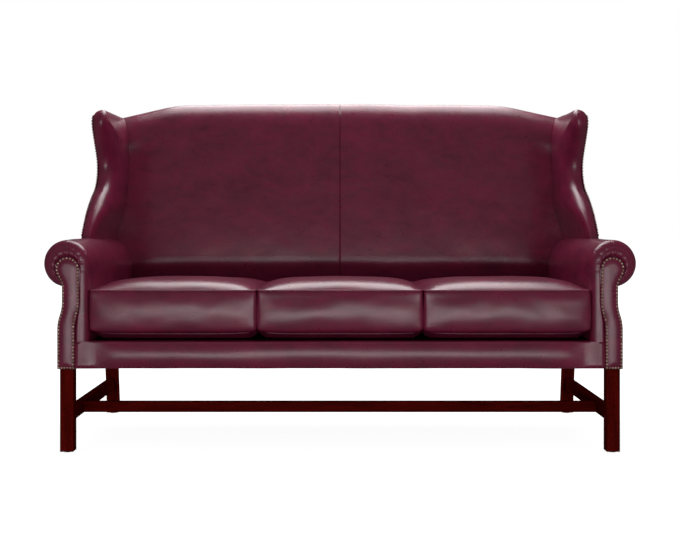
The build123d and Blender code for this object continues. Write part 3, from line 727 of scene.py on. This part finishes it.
for side, mirrored in (("right", False), ("left", True)):
    dress(wing_cover(f"wing_{side}", mirrored), "frame",
          f"wing_cover_{side}", f"wing_padding_{side}", fill=0.9)
    dress(wing_side(f"wing_outside_{side}", mirrored), "frame", f"outside_wing_panel_{side}")


# Arms
def facing_sides(height):
    """The inner and outer edge of the keyhole facing at a height below its head's middle."""
    shift = 0.0 if height >= NECK_BOTTOM else BASE_SHIFT
    if BASE_TOP < height < NECK_BOTTOM:
        bend = (NECK_BOTTOM - BASE_TOP) / 2
        low, high = 0.0, 1.0
        for _ in range(30):
            t = (low + high) / 2
            if cubic(NECK_BOTTOM, NECK_BOTTOM - bend, BASE_TOP + bend, BASE_TOP, t) > height:
                low = t
            else:
                high = t
        shift = BASE_SHIFT * (3 * t * t * (1 - t) + t ** 3)
    return NECK_INNER_X + shift, NECK_OUTER_X + shift


def facing_path(growth):
    """The keyhole outline from the foot of its inner side, over the head, to its outer foot."""
    radius = HEAD_RADIUS + growth
    inner, outer = NECK_INNER_X - growth, NECK_OUTER_X + growth
    bottom, bend = FACING_BOTTOM - growth, (NECK_BOTTOM - BASE_TOP) / 2
    end = (HEAD_X + radius * cos(HEAD_END), HEAD_Z - radius * sin(HEAD_END))
    flare = (end[1] - NECK_TOP) / 2
    turns = [pi + (-HEAD_END - pi) * n / 60 for n in range(61)]
    head = [(HEAD_X + radius * cos(a), HEAD_Z + radius * sin(a)) for a in turns]
    return joined(
        [(inner + BASE_SHIFT, bottom)],
        bend_path((inner + BASE_SHIFT, BASE_TOP), (inner + BASE_SHIFT, BASE_TOP + bend),
                  (inner, NECK_BOTTOM - bend), (inner, NECK_BOTTOM)),
        head,
        bend_path(end, (end[0] - flare * tan(HEAD_END), end[1] - flare),
                  (outer, NECK_TOP + flare), (outer, NECK_TOP)),
        bend_path((outer, NECK_BOTTOM), (outer, NECK_BOTTOM - bend),
                  (outer + BASE_SHIFT, BASE_TOP + bend), (outer + BASE_SHIFT, BASE_TOP)),
        [(outer + BASE_SHIFT, bottom)],
    )


def arm_stations():
    """Round the arm: its outline, the way inwards, the facing's edge, 1 where it closes in."""
    stations = []
    for n in range(40):
        z = lerp(SEAT_BASE, ROLL_Z, n / 40)
        edge_z = lerp(SEAT_BASE, HEAD_Z, n / 40)
        stations.append((Vector((ARM_INNER_X, z)), Vector((1, 0)),
                         Vector((facing_sides(edge_z)[0], edge_z)), 1.0))
    centre = Vector((ARM_INNER_X + ROLL_RADIUS, ROLL_Z))
    head = Vector((HEAD_X, HEAD_Z))
    for n in range(48):
        a = pi - pi / 2 * n / 48
        out = Vector((cos(a), sin(a)))
        stations.append((centre + out * ROLL_RADIUS, -out, head + out * HEAD_RADIUS, 1.0))
    centre = Vector((ROLL_X, ROLL_Z))
    last = -math.acos((NECK_OUTER_X - ROLL_X) / ROLL_RADIUS)
    flare_end = Vector((NECK_OUTER_X + 1.5, 531))
    head_end = head + Vector((cos(HEAD_END), -sin(HEAD_END))) * HEAD_RADIUS
    head_share = 0.78
    for t in even(90):
        a = lerp(pi / 2, last, t)
        out = Vector((cos(a), sin(a)))
        if t < head_share:
            b = lerp(pi / 2, -HEAD_END, t / head_share)
            edge = head + Vector((cos(b), sin(b))) * HEAD_RADIUS
        else:
            edge = head_end.lerp(flare_end, (t - head_share) / 0.22)
        stations.append((centre + out * ROLL_RADIUS, -out, edge, 0.0))
    return stations


def rear_of_arm(place):
    """Where a point of the arm's front outline lies at the rear, whose inner top is rounder."""
    turned = Vector((ARM_INNER_X + ROLL_RADIUS, ROLL_Z))
    if place.x <= turned.x:
        if place.y <= ROLL_Z:
            share = (place.y - SEAT_BASE) / (ROLL_Z - SEAT_BASE)
            return Vector((place.x, lerp(SEAT_BASE, ARM_HEIGHT - ARM_REAR_HIGH, share)))
        off = (place - turned) / ROLL_RADIUS
        return Vector((ARM_INNER_X + ARM_REAR_WIDE * (1 + off.x),
                       ARM_HEIGHT - ARM_REAR_HIGH * (1 - off.y)))
    lift = max(0.0, (place.y - ROLL_Z) / ROLL_RADIUS)
    return Vector((place.x + (ARM_REAR_WIDE - ROLL_RADIUS) * lift ** 2.5, place.y))


PLEATS = [205, 176, 148, 124, 99, 76, 51, 27, 2, -26, -55, -85]


def pleat_depth(angle):
    """How sunk the gathered leather is at an angle round the arm's head, from 0 to 1."""
    for high, low in zip(PLEATS, PLEATS[1:]):
        if low <= angle <= high:
            share = (angle - low) / (high - low)
            return (1 - sin(pi * share)) ** 2
    return 0.0


def arm_cover(name, mirrored):
    """The arm's leather: gathered round the facing, rolled over the front and run to the back."""
    face_shares = [0.0, 0.05, 0.12, 0.2, 0.3, 0.42, 0.55, 0.7, 0.85, 1.0]
    begin = ARM_FRONT_Y + ARM_FRONT_ROUND
    pairs = []
    for outline, inward, edge, closing in arm_stations():
        line, rear = [], rear_of_arm(outline)
        start = outline + inward * ARM_FRONT_ROUND
        gap = (start - edge).length
        spread = min(1.0, gap / 26)
        angle = math.degrees(math.atan2(edge.y - HEAD_Z, edge.x - HEAD_X))
        if angle < -100:
            angle += 360
        pleat = PLEAT_DEPTH * pleat_depth(angle) if edge.y > NECK_TOP else 0.0
        total = gap + ARM_FRONT_ROUND * pi / 2
        for share in face_shares:
            place = edge.lerp(start, share)
            y = ARM_FRONT_Y + 6.0 * (1 - share) ** 3 - 4.6 * sin(pi * share) * spread
            y += pleat * (1 - share * gap / total) ** 1.4 * ease(share / 0.05 + 0.3)
            line.append(Vector((place.x, y, place.y)))
        for a in quarter(11)[1:]:
            fade = (1 - (gap + ARM_FRONT_ROUND * a) / total) ** 1.4 if a < pi / 2 else 0.0
            dent = pleat * fade
            place = outline + inward * (ARM_FRONT_ROUND * (1 - sin(a)))
            place = place + inward * dent * sin(a)
            y = ARM_FRONT_Y + ARM_FRONT_ROUND * (1 - cos(a)) + dent * cos(a)
            line.append(Vector((place.x, y, place.y)))
        for share in even(44)[1:]:
            y = lerp(begin, back_y(outline.y, PANEL), share)
            run = (y - begin) / (back_y(ARM_HEIGHT, PANEL) - begin)
            place = outline.lerp(rear, ease(run * 1.1 - 0.1))
            line.append(Vector((place.x - closing * ARM_CLOSING * run, y, place.y)))
        pairs.append([(p, Vector((lerp(p.x, 850, 0.12), p.y + 6, lerp(p.z, 560, 0.05))))
                      for p in line])
    piece = slab(name, pairs, LEATHER, mirrored)
    ruffle(piece, 2.4, (110, 170, 100), 21, lambda p: ease((p.y - ARM_FRONT_Y - 20) / 60))
    ruffle(piece, 0.8, (40, 70, 36), 23)
    return piece


def arm_side(name, mirrored):
    """The leather panel down the outside of the arm, from under the roll to under the rail."""
    front = FRONT_Y + FACING_THICKNESS
    pairs = []
    for height in [lerp(FACING_BOTTOM, 540, share) for share in even(50)]:
        outer, rear = facing_sides(height)[1], back_y(height, PANEL)
        pairs.append([])
        for share in even(40):
            y = lerp(front + 0.5, rear, share)
            edge = min(y - front, rear - y, height - FACING_BOTTOM)
            puff = PANEL - 1.6 * (1 - ease(edge / 4)) + 1.8 * ease((edge - 8) / 60)
            pairs[-1].append((Vector((outer + puff, y, height)), Vector((outer, y, height))))
    return slab(name, pairs, LEATHER, mirrored)


def arm_facing(name, mirrored):
    """The keyhole facing board under tight leather, with a rounded edge and a soft middle."""
    path = facing_path(0)
    outline = Trail(path)
    rows = [lerp(FACING_BOTTOM, HEAD_Z, share) for share in even(75)]
    rows += [HEAD_Z + HEAD_RADIUS * sin(a) for a in quarter(22)[1:]]
    across = [0.5 - 0.5 * cos(pi * n / 16) for n in range(17)]
    flare_top = HEAD_Z - HEAD_RADIUS * sin(HEAD_END)
    flare = [p for p in path if p.x > HEAD_X and NECK_TOP <= p.y <= flare_top + 0.1]
    board = FRONT_Y + FACING_THICKNESS
    pairs = []
    for height in rows:
        half = sqrt(max(0.0, HEAD_RADIUS ** 2 - (height - HEAD_Z) ** 2))
        inner, outer = HEAD_X - half, HEAD_X + half
        if height <= HEAD_Z:
            inner, side = facing_sides(height)
            if height <= flare_top:
                outer = side
            if NECK_TOP < height <= flare_top:
                for a, b in zip(flare, flare[1:]):
                    if b.y <= height <= a.y:
                        outer = lerp(a.x, b.x, (a.y - height) / max(1e-6, a.y - b.y))
        pairs.append([])
        for share in across:
            x = lerp(inner, outer, share)
            off = min(outline.away(Vector((x, height))), height - FACING_BOTTOM)
            lift = 3.0 + sqrt(max(0.0, 2.5 ** 2 - (2.5 - min(off, 2.5)) ** 2))
            lift += 9.0 * (1 - (1 - min(1.0, off / 25)) ** 2)
            pairs[-1].append((Vector((x, board - lift, height)), Vector((x, board, height))))
    return slab(name, pairs, LEATHER, mirrored)


for side, mirrored in (("right", False), ("left", True)):
    dress(arm_cover(f"arm_{side}", mirrored), "frame",
          f"arm_cover_{side}", f"arm_padding_{side}", fill=0.9)
    dress(arm_side(f"arm_outside_{side}", mirrored), "frame", f"outside_arm_panel_{side}")
    dress(arm_facing(f"arm_front_{side}", mirrored), "frame", f"arm_facing_{side}")


# Nails, set along their lines by a node tree
def nail_tree():
    """A tree that resamples a line at the nails' pitch and sets a domed head at each point."""
    tree = bpy.data.node_groups.new("domed nails along a line", "GeometryNodeTree")
    face, sizes = tree.interface, {}
    for name, kind in (("Line", "Geometry"), ("Nail Pitch", "Float"), ("Head Radius", "Float"),
                       ("Head Height", "Float"), ("Head Direction", "Vector"),
                       ("Metal", "Material")):
        socket = face.new_socket(name, in_out="INPUT", socket_type=f"NodeSocket{kind}")
        sizes[name] = socket.identifier
    face.new_socket("Nails", in_out="OUTPUT", socket_type="NodeSocketGeometry")
    node = node_adder(tree)
    given = node("NodeGroupInput").outputs
    curve = node("GeometryNodeMeshToCurve", Mesh=given["Line"])
    length = node("GeometryNodeCurveLength", Curve=curve)
    gaps = maths(node, "ROUND", maths(node, "DIVIDE", length, given["Nail Pitch"]))
    spaced = node("GeometryNodeResampleCurve", Curve=curve, Count=maths(node, "ADD", gaps, 1.0))
    dome = node("GeometryNodeMeshUVSphere", Segments=9, Rings=6, Radius=given["Head Radius"])
    flat = maths(node, "DIVIDE", given["Head Height"], given["Head Radius"])
    squat = node("ShaderNodeCombineXYZ", X=1.0, Y=1.0, Z=flat)
    head = node("GeometryNodeTransform", Geometry=dome, Scale=squat)
    turn = node("FunctionNodeAlignRotationToVector", {"axis": "Z"}, Vector=given["Head Direction"])
    wander = node("FunctionNodeRandomValue", {"data_type": "FLOAT"}, Seed=4)
    low, high = [s for s in wander.inputs if s.type == "VALUE"][:2]
    low.default_value, high.default_value = 0.93, 1.03
    scale = [s for s in wander.outputs if s.type == "VALUE" and s.enabled][0]
    placed = node("GeometryNodeInstanceOnPoints", Points=spaced, Instance=head, Rotation=turn,
                  Scale=scale)
    smooth = node("GeometryNodeSetShadeSmooth",
                  Geometry=node("GeometryNodeRealizeInstances", Geometry=placed))
    node("NodeGroupOutput", Nails=node("GeometryNodeSetMaterial", Geometry=smooth,
                                       Material=given["Metal"]))
    return tree, sizes


NAIL_TREE, NAIL_SIZES = nail_tree()


def nail_rows(name, lines, direction, node):
    """One piece with a domed nail at each pitch along each line, all facing one way."""
    gathered = bmesh.new()
    for line in lines:
        mesh = bpy.data.meshes.new("nail line")
        links = [(n, n + 1) for n in range(len(line) - 1)]
        mesh.from_pydata([tuple(p * MM) for p in line], links, [])
        guide = shown("nail line", mesh)
        setter = guide.modifiers.new("nails", "NODES")
        setter.node_group = NAIL_TREE
        for key, value in (("Nail Pitch", NAIL_PITCH * MM), ("Head Radius", NAIL_RADIUS * MM),
                           ("Head Height", NAIL_HEIGHT * MM), ("Head Direction", tuple(direction)),
                           ("Metal", BRASS)):
            setter[NAIL_SIZES[key]] = value
        bpy.context.view_layer.update()
        made = bpy.data.meshes.new_from_object(
            guide.evaluated_get(bpy.context.evaluated_depsgraph_get()))
        gathered.from_mesh(made)
        bpy.data.objects.remove(guide)
        bpy.data.meshes.remove(made)
    mesh = bpy.data.meshes.new(name)
    gathered.to_mesh(mesh)
    gathered.free()
    mesh.materials.clear()
    mesh.materials.append(BRASS)
    for face in mesh.polygons:
        face.material_index = 0
        face.use_smooth = True
    piece = shown(name, mesh)
    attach(piece, "frame")
    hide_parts(node)


for side, sign in (("right", 1), ("left", -1)):
    keyhole = [Vector((p.x * sign, FRONT_Y, p.y)) for p in facing_path(-NAIL_MARGIN)]
    foot = [keyhole[0].lerp(keyhole[-1], t) for t in (1 / 5, 4 / 5)]
    nail_rows(f"facing_nail_row_{side}", [keyhole, foot], (0, -1, 0), f"facing_nails_{side}")
    edge = joined(*wing_rim_path(WING_PANEL_MARGIN + NAIL_MARGIN))
    edge = Trail([p for p in edge if p.y >= ARM_HEIGHT - 3])
    stop = NAIL_ROW_STOP / edge.length
    row = [on_wing(*edge.at(lerp(stop, 1 - stop, share)), 0.2) for share in even(240)]
    nail_rows(f"wing_nail_row_{side}", [[Vector((p.x * sign, p.y, p.z)) for p in row]],
              (sign * cos(TOE), sin(TOE), 0), f"wing_nails_{side}")


# Front border
def front_border():
    """The padded border along the front rail, full in the middle and tucked under at its foot."""
    half = NECK_INNER_X + BASE_SHIFT - 0.3
    loops = []
    for x in [lerp(-half, half, share) for share in even(140)]:
        puff = 8.0 * ease((792 - abs(x)) / 90) + 0.8
        plain = ease((abs(x) - 780) / 10)
        loop = [(BORDER_REAR_Y, 266.0), (-398.0, 266.0), (-401.5, 266.6),
                (BORDER_FACE_Y, BORDER_FOOT)]
        for share in even(22)[1:-1]:
            lean = min(1.0, 11 * share) * (0.8 + 5.0 * (1 - share))
            out = lerp(puff * sin(pi * share) ** 0.8, lean, plain)
            loop.append((BORDER_FACE_Y - out, lerp(BORDER_FOOT, BORDER_BROW, share)))
        for a in quarter(6):
            out = BORDER_ROUND * lerp(cos(a), 1 + 0.13 * (a < pi / 2), plain)
            loop.append((BORDER_FACE_Y + BORDER_ROUND - out, BORDER_BROW + BORDER_ROUND * sin(a)))
        top = BORDER_BROW + BORDER_ROUND
        loop += [(-380.0, top), (BORDER_LIP_Y, top), (BORDER_LIP_Y, SEAT_BASE),
                 (BORDER_REAR_Y, SEAT_BASE), (BORDER_REAR_Y, 300.0)]
        loops.append([Vector((x, y, z)) for y, z in loop])
    piece = bar("front_border_cover", loops, LEATHER)
    ruffle(piece, 1.6, (170, 60, 60), 31, lambda p: 1.0 if p.y < -396 else 0.0)
    return piece


dress(front_border(), "frame", "front_border", fill=0.8)


# Seat cushions
def rounded_place(a, b, half_x, half_y, corner):
    """A place on a rounded rectangle for a place on the edge of a square from -1 to 1."""
    x, y = a * half_x, b * half_y
    cx = min(max(x, -(half_x - corner)), half_x - corner)
    cy = min(max(y, -(half_y - corner)), half_y - corner)
    if x == cx or y == cy:
        return Vector((x, y))
    return Vector((cx, cy)) + Vector((x - cx, y - cy)).normalized() * corner


def cushion(name, number, seed):
    """A box cushion in leather: a domed top, a full boxing, round lower corners and piped edges."""
    across, back_steps, high = 58, 62, 18
    half_x = CUSHION_WIDTH / 2 + (0 if number == 1 else CUSHION_GROWTH)
    middle_x = (number - 1) * (CUSHION_PITCH + CUSHION_GROWTH)
    rear = back_y(CUSHION_BASE + CUSHION_HEIGHT, BACK_THICKNESS) - CUSHION_REAR_GAP
    low_rear = back_y(CUSHION_BASE, BACK_THICKNESS) - CUSHION_REAR_GAP
    half_y = (rear - CUSHION_FRONT_Y) / 2
    middle_y = CUSHION_FRONT_Y + half_y
    narrowing = ARM_CLOSING + 3

    def spot(a, b, c, pull, rise):
        """A place on the cushion from its place on a cube, pulled in from its sides and raised."""
        m = max(abs(a), abs(b), 1e-9)
        rim = rounded_place(a / m, b / m, half_x - pull, half_y - pull, CUSHION_CORNER) * m
        plain = Vector((a * (half_x - pull), b * (half_y - pull)))
        flat = plain.lerp(rim, m ** 4)
        x, y = middle_x + flat.x, middle_y + flat.y
        depth = (y - CUSHION_FRONT_Y) / (2 * half_y)
        z = CUSHION_BASE + CUSHION_HEIGHT * (c + 1) / 2 + rise
        y -= max(0.0, depth) * (rear - low_rear) * (1 - c) / 2
        if number == 0 and x < middle_x:
            x += narrowing * depth * (middle_x - x) / half_x
        if number == 2 and x > middle_x:
            x -= narrowing * depth * (x - middle_x) / half_x
        return Vector((x, y, z))

    def side_pull(a, b, c):
        """How far the boxing stands in from its fullest line at a height."""
        m = 1 - c
        base = CUSHION_TUCK * max(0.0, (m - 1.7) / 0.3) ** 2.2
        base += 1.2 * max(0.0, 1 - m / 0.12) ** 1.5
        full = lerp(1.0, CUSHION_BELLY, ease((-b - 0.85) / 0.15))
        return base + 0.8 - full * (1 - min(abs(a), abs(b)) ** 6) * sin(pi * m / 2) ** 0.9

    levels = spread(high, 0.0)
    shares_x, shares_y = spread(across, 0.5), spread(back_steps, 0.5)
    points, index, faces = [], {}, []

    def vertex(i, j, k):
        key = (i, j, k)
        if key not in index:
            a, b, c = shares_x[i], shares_y[j], levels[k]
            side = i in (0, across) or j in (0, back_steps)
            pull = side_pull(a, b, c) * (1 if side else max(abs(a), abs(b)) ** 6)
            rise = 0.0
            if k == high:
                ahead, behind, beside = (b + 1) * half_y, (1 - b) * half_y, (1 - abs(a)) * half_x
                rise = CUSHION_CROWN * (1 - math.exp(-ahead / 38)) * (1 - math.exp(-beside / 48))
                rise *= (1 - math.exp(-behind / 60)) * (1 - 0.5 * ease((ahead - 80) / 520))
            if b < 0 and (side or k == 0):
                lip = CUSHION_LIP * ease((CUSHION_LIP_RUN - (b + 1) * half_y) / CUSHION_LIP_RUN)
                rise += (lip + 4.0 * (abs(a) * -b) ** 6) * (1 - k / high) ** 2.5
            rise -= CUSHION_DIP * abs(a) ** 5 * max(0.0, b) ** 3 * (k / high)
            points.append(spot(a, b, c, pull, rise))
            index[key] = len(points) - 1
        return index[key]

    def quad(*corners):
        faces.append(tuple(vertex(*corner) for corner in corners))

    for i in range(across):
        for j in range(back_steps):
            quad((i, j, 0), (i, j + 1, 0), (i + 1, j + 1, 0), (i + 1, j, 0))
            quad((i, j, high), (i + 1, j, high), (i + 1, j + 1, high), (i, j + 1, high))
    for k in range(high):
        for i in range(across):
            for j in (0, back_steps):
                quad((i, j, k), (i + 1, j, k), (i + 1, j, k + 1), (i, j, k + 1))
        for j in range(back_steps):
            for i in (0, across):
                quad((i, j, k), (i, j + 1, k), (i, j + 1, k + 1), (i, j, k + 1))
    around = [(i, 0) for i in range(across)] + [(across, j) for j in range(back_steps)]
    around += [(i, back_steps) for i in range(across, 0, -1)]
    around += [(0, j) for j in range(back_steps, 0, -1)]
    seams = [[points[vertex(i, j, k)].copy() for i, j in around] for k in (0, high)]
    piece = make_piece(name, points, faces, LEATHER)

    def front(p):
        """1 on the boxing at the front, fading out towards its piping."""
        return ease((-300 - p.y) / 60) * ease((508 - p.z) / 22) * ease((p.z - 356) / 30)

    ruffle(piece, 3.0, (240, 300, 90), seed, front)
    ruffle(piece, 1.5, (60, 80, 50), seed + 1, front)
    ruffle(piece, 3.0, (150, 150, 120), seed + 2, lambda p: ease((p.z - 514) / 16))
    return piece, seams


for number, name in enumerate(("left", "centre", "right")):
    pad, seams = cushion(f"cushion_{name}", number, 41 + 5 * number)
    dress(pad, f"cushion_{name}", f"seat_cushion_cover_{name}", f"seat_cushion_filling_{name}",
          fill=0.85)
    for where, seam in zip(CORD_RADII, seams):
        cord_points, cord_faces = welt(seam, CORD_RADII[where])
        edge_cord = make_piece(f"cushion_{name}_{where}_piping", cord_points, cord_faces, LEATHER)
        dress(edge_cord, f"cushion_{name}")


# Outside back, seat deck and dust cover
def back_half_width(up):
    """Half the outside back's width at a height up the slope: arms below, wings above."""
    height = FRAME_UNDERSIDE + up * cos(SLOPE)
    low, high = NECK_OUTER_X + BASE_SHIFT + PANEL, NECK_OUTER_X + PANEL
    half = lerp(low, high, ease((height - BASE_TOP) / (NECK_BOTTOM - BASE_TOP)))
    if height > NECK_BOTTOM:
        off = abs(height - ROLL_Z)
        round_half = ROLL_X + sqrt(ROLL_RADIUS ** 2 - off ** 2) if off < ROLL_RADIUS else 0.0
        wing = WING_X - (BACK_FOOT_Y + up * sin(SLOPE) - LEG_FRONT_Y) * sin(TOE) - 0.5
        half = max(round_half, high if height < ROLL_Z else wing)
    return half


def outside_back():
    """The leather over the rear, tight at its tacked edges and faintly full in the middle."""
    pairs = []
    for n in range(111):
        pairs.append([])
        for across in spread(120, 0.3):
            top = crest_up(across * 864) - CREST_REAR_ROUND
            up = top * n / 110
            half = back_half_width(up)
            x = across * half
            off = min(half - abs(x), up, top - up)
            puff = 2.4 * ease((off - 4) / 90) - 1.5 * (1 - ease(off / 3))
            pairs[-1].append((on_back(x, up, -puff), on_back(x, up, PANEL)))
    piece = slab("outside_back_cover", pairs, LEATHER)
    ruffle(piece, 1.0, (260, 90, 220), 61, lambda p: 1.0 if abs(p.x) < 800 else 0.0)
    return piece


dress(outside_back(), "frame", "outside_back_panel")


def deck_cloth():
    """The cloth platform under the cushions, sagging faintly between its edges."""
    pairs = []
    for n in range(41):
        pairs.append([])
        y = lerp(DECK_FRONT_Y, DECK_REAR_Y, n / 40)
        half = ARM_INNER_X - 6 - ARM_CLOSING * n / 40
        for x in [lerp(-half, half, share) for share in even(100)]:
            off = min(half - abs(x), y - DECK_FRONT_Y, DECK_REAR_Y - y)
            pairs[-1].append((Vector((x, y, DECK_TOP - 2.6 * ease(off / 120))),
                              Vector((x, y, SEAT_BASE))))
    return slab("seat_deck_cloth", pairs, LINING)


def dust_cloth():
    """The cloth stapled under the seat, cut round the legs, hanging slack by a few millimetres."""
    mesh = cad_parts["dust_cover"].data.copy()
    cloth = bmesh.new()
    cloth.from_mesh(mesh)
    bmesh.ops.remove_doubles(cloth, verts=cloth.verts, dist=0.00002)
    for axis, low, high, count in ((0, -0.84, 0.84, 43), (1, -0.36, 0.24, 17)):
        normal = Vector((1, 0, 0)) if axis == 0 else Vector((0, 1, 0))
        for n in range(count):
            whole = list(cloth.verts) + list(cloth.edges) + list(cloth.faces)
            bmesh.ops.bisect_plane(cloth, geom=whole, plane_no=normal,
                                   plane_co=normal * lerp(low, high, n / (count - 1)))
    for vertex in cloth.verts:
        x, y = vertex.co.x / MM, vertex.co.y / MM
        off = min(880 - abs(x), y + 380, 258 - y)
        wave = noise.noise(Vector((x / 90, y / 90, 3.0)))
        sag = 4.0 * ease(off / 200) + 1.2 * ease(off / 60) * wave
        vertex.co.z -= max(0.0, sag) * MM
    cloth.to_mesh(mesh)
    cloth.free()
    mesh.materials.clear()
    mesh.materials.append(LINING)
    for face in mesh.polygons:
        face.use_smooth = abs(face.normal.z) > 0.7
        face.material_index = 0
    return shown("dust_cloth", mesh)


for cloth, node in ((deck_cloth(), "seat_deck"), (dust_cloth(), "dust_cover")):
    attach(cloth, "frame")
    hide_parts(node)


# Nodes of the frame that stay, dressed by a word in their names
KEPT_FINISHES = {
    "leg_": POLISHED, "stretcher": POLISHED, "rail": RAW, "post": RAW, "board": RAW,
    "uprights": RAW, "blocks": RAW, "webbing": WEBBING, "glides": GLIDE, "padding": STUFFING,
    "filling": STUFFING,
}
for name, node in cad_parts.items():
    if node.hide_render:
        continue
    low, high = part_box(name)
    spans = [high[n] - low[n] for n in range(3)]
    along = "xyz"[spans.index(max(spans))]
    finish = next((made for word, made in KEPT_FINISHES.items() if word in name), LEATHER)
    if isinstance(finish, dict):
        finish = finish[along]
    if not node.material_slots:
        node.data.materials.append(finish)
    for place in node.material_slots:
        place.material = finish


# Studio
def seen_white(node):
    """The ray kinds, and how white the surroundings are to the rays that don't light the sofa."""
    ray = node("ShaderNodeLightPath").outputs
    gloss = maths(node, "MULTIPLY", ray["Is Glossy Ray"], GLOSSY_WHITE)
    seen = maths(node, "MAXIMUM", ray["Is Camera Ray"], ray["Is Transmission Ray"])
    return ray, maths(node, "MAXIMUM", seen, gloss)


def studio_floor():
    """A wide white floor that shows white and keeps the sofa's shadow."""
    mesh = bpy.data.meshes.new("studio floor")
    mesh.from_pydata([(x * FLOOR_SPAN, y * FLOOR_SPAN, 0)
                      for x, y in ((-1, -1), (1, -1), (1, 1), (-1, 1))], [], [(0, 1, 2, 3)])
    finish, node, place = new_finish("white studio floor")
    ray, seen = seen_white(node)
    tone = blend(node, ray["Is Glossy Ray"], (0.25, 0.25, 0.25), (0.04, 0.04, 0.04))
    main = node("ShaderNodeBsdfPrincipled", Base_Color=tone, Roughness=0.9, Specular_IOR_Level=0.1)
    off = node("ShaderNodeVectorMath", {"operation": "LENGTH"}, _0=place).outputs["Value"]
    pool = span(node, off, 0.93, 1.0, 1.0, 2.6, "SMOOTHSTEP")
    glow = node("ShaderNodeEmission", Color=(1, 1, 1, 1),
                Strength=maths(node, "MULTIPLY", seen, pool))
    node("ShaderNodeOutputMaterial", Surface=node("ShaderNodeAddShader", _0=main, _1=glow))
    mesh.materials.append(finish)
    shown("studio_floor", mesh)


def studio_world():
    """A white surround that fills the shadows."""
    world = bpy.data.worlds.new("white studio")
    bpy.context.scene.world = world
    world.use_nodes = True
    node = node_adder(world.node_tree)
    ray, seen = seen_white(node)
    fill = maths(node, "MULTIPLY", ray["Is Diffuse Ray"], WORLD_FILL)
    light = node("ShaderNodeBackground", Color=(1, 1, 1, 1),
                 Strength=maths(node, "MAXIMUM", seen, fill))
    node("ShaderNodeOutputWorld", Surface=light)


def lamp(name, size, place, aim, power):
    """A rectangular softbox."""
    data = bpy.data.lights.new(name, "AREA")
    data.shape = "RECTANGLE"
    data.size, data.size_y = size
    data.energy = power
    holder = shown(name, data)
    holder.location = place
    holder.rotation_euler = (Vector(aim) - Vector(place)).to_track_quat("-Z", "Y").to_euler()


def photo_camera():
    """The camera straight in front of the sofa, with its view shifted downwards."""
    data = bpy.data.cameras.new("camera")
    data.sensor_width = 36.0
    data.lens = CAMERA_LENS
    data.shift_y = CAMERA_SHIFT
    camera = shown("camera", data)
    camera.location = CAMERA_PLACE
    camera.rotation_euler = (pi / 2, 0, 0)
    bpy.context.scene.camera = camera


studio_floor()
studio_world()
lamp("overhead softbox", (2.4, 2.8), (0.0, 1.45, 2.75), (0.0, 1.45, 0.0), 130)
lamp("low front softbox", (3.7, 0.4), (0.0, -3.85, 0.22), (0.0, 0.0, 0.42), 52)
photo_camera()
bpy.context.scene.view_settings.view_transform = "Standard"
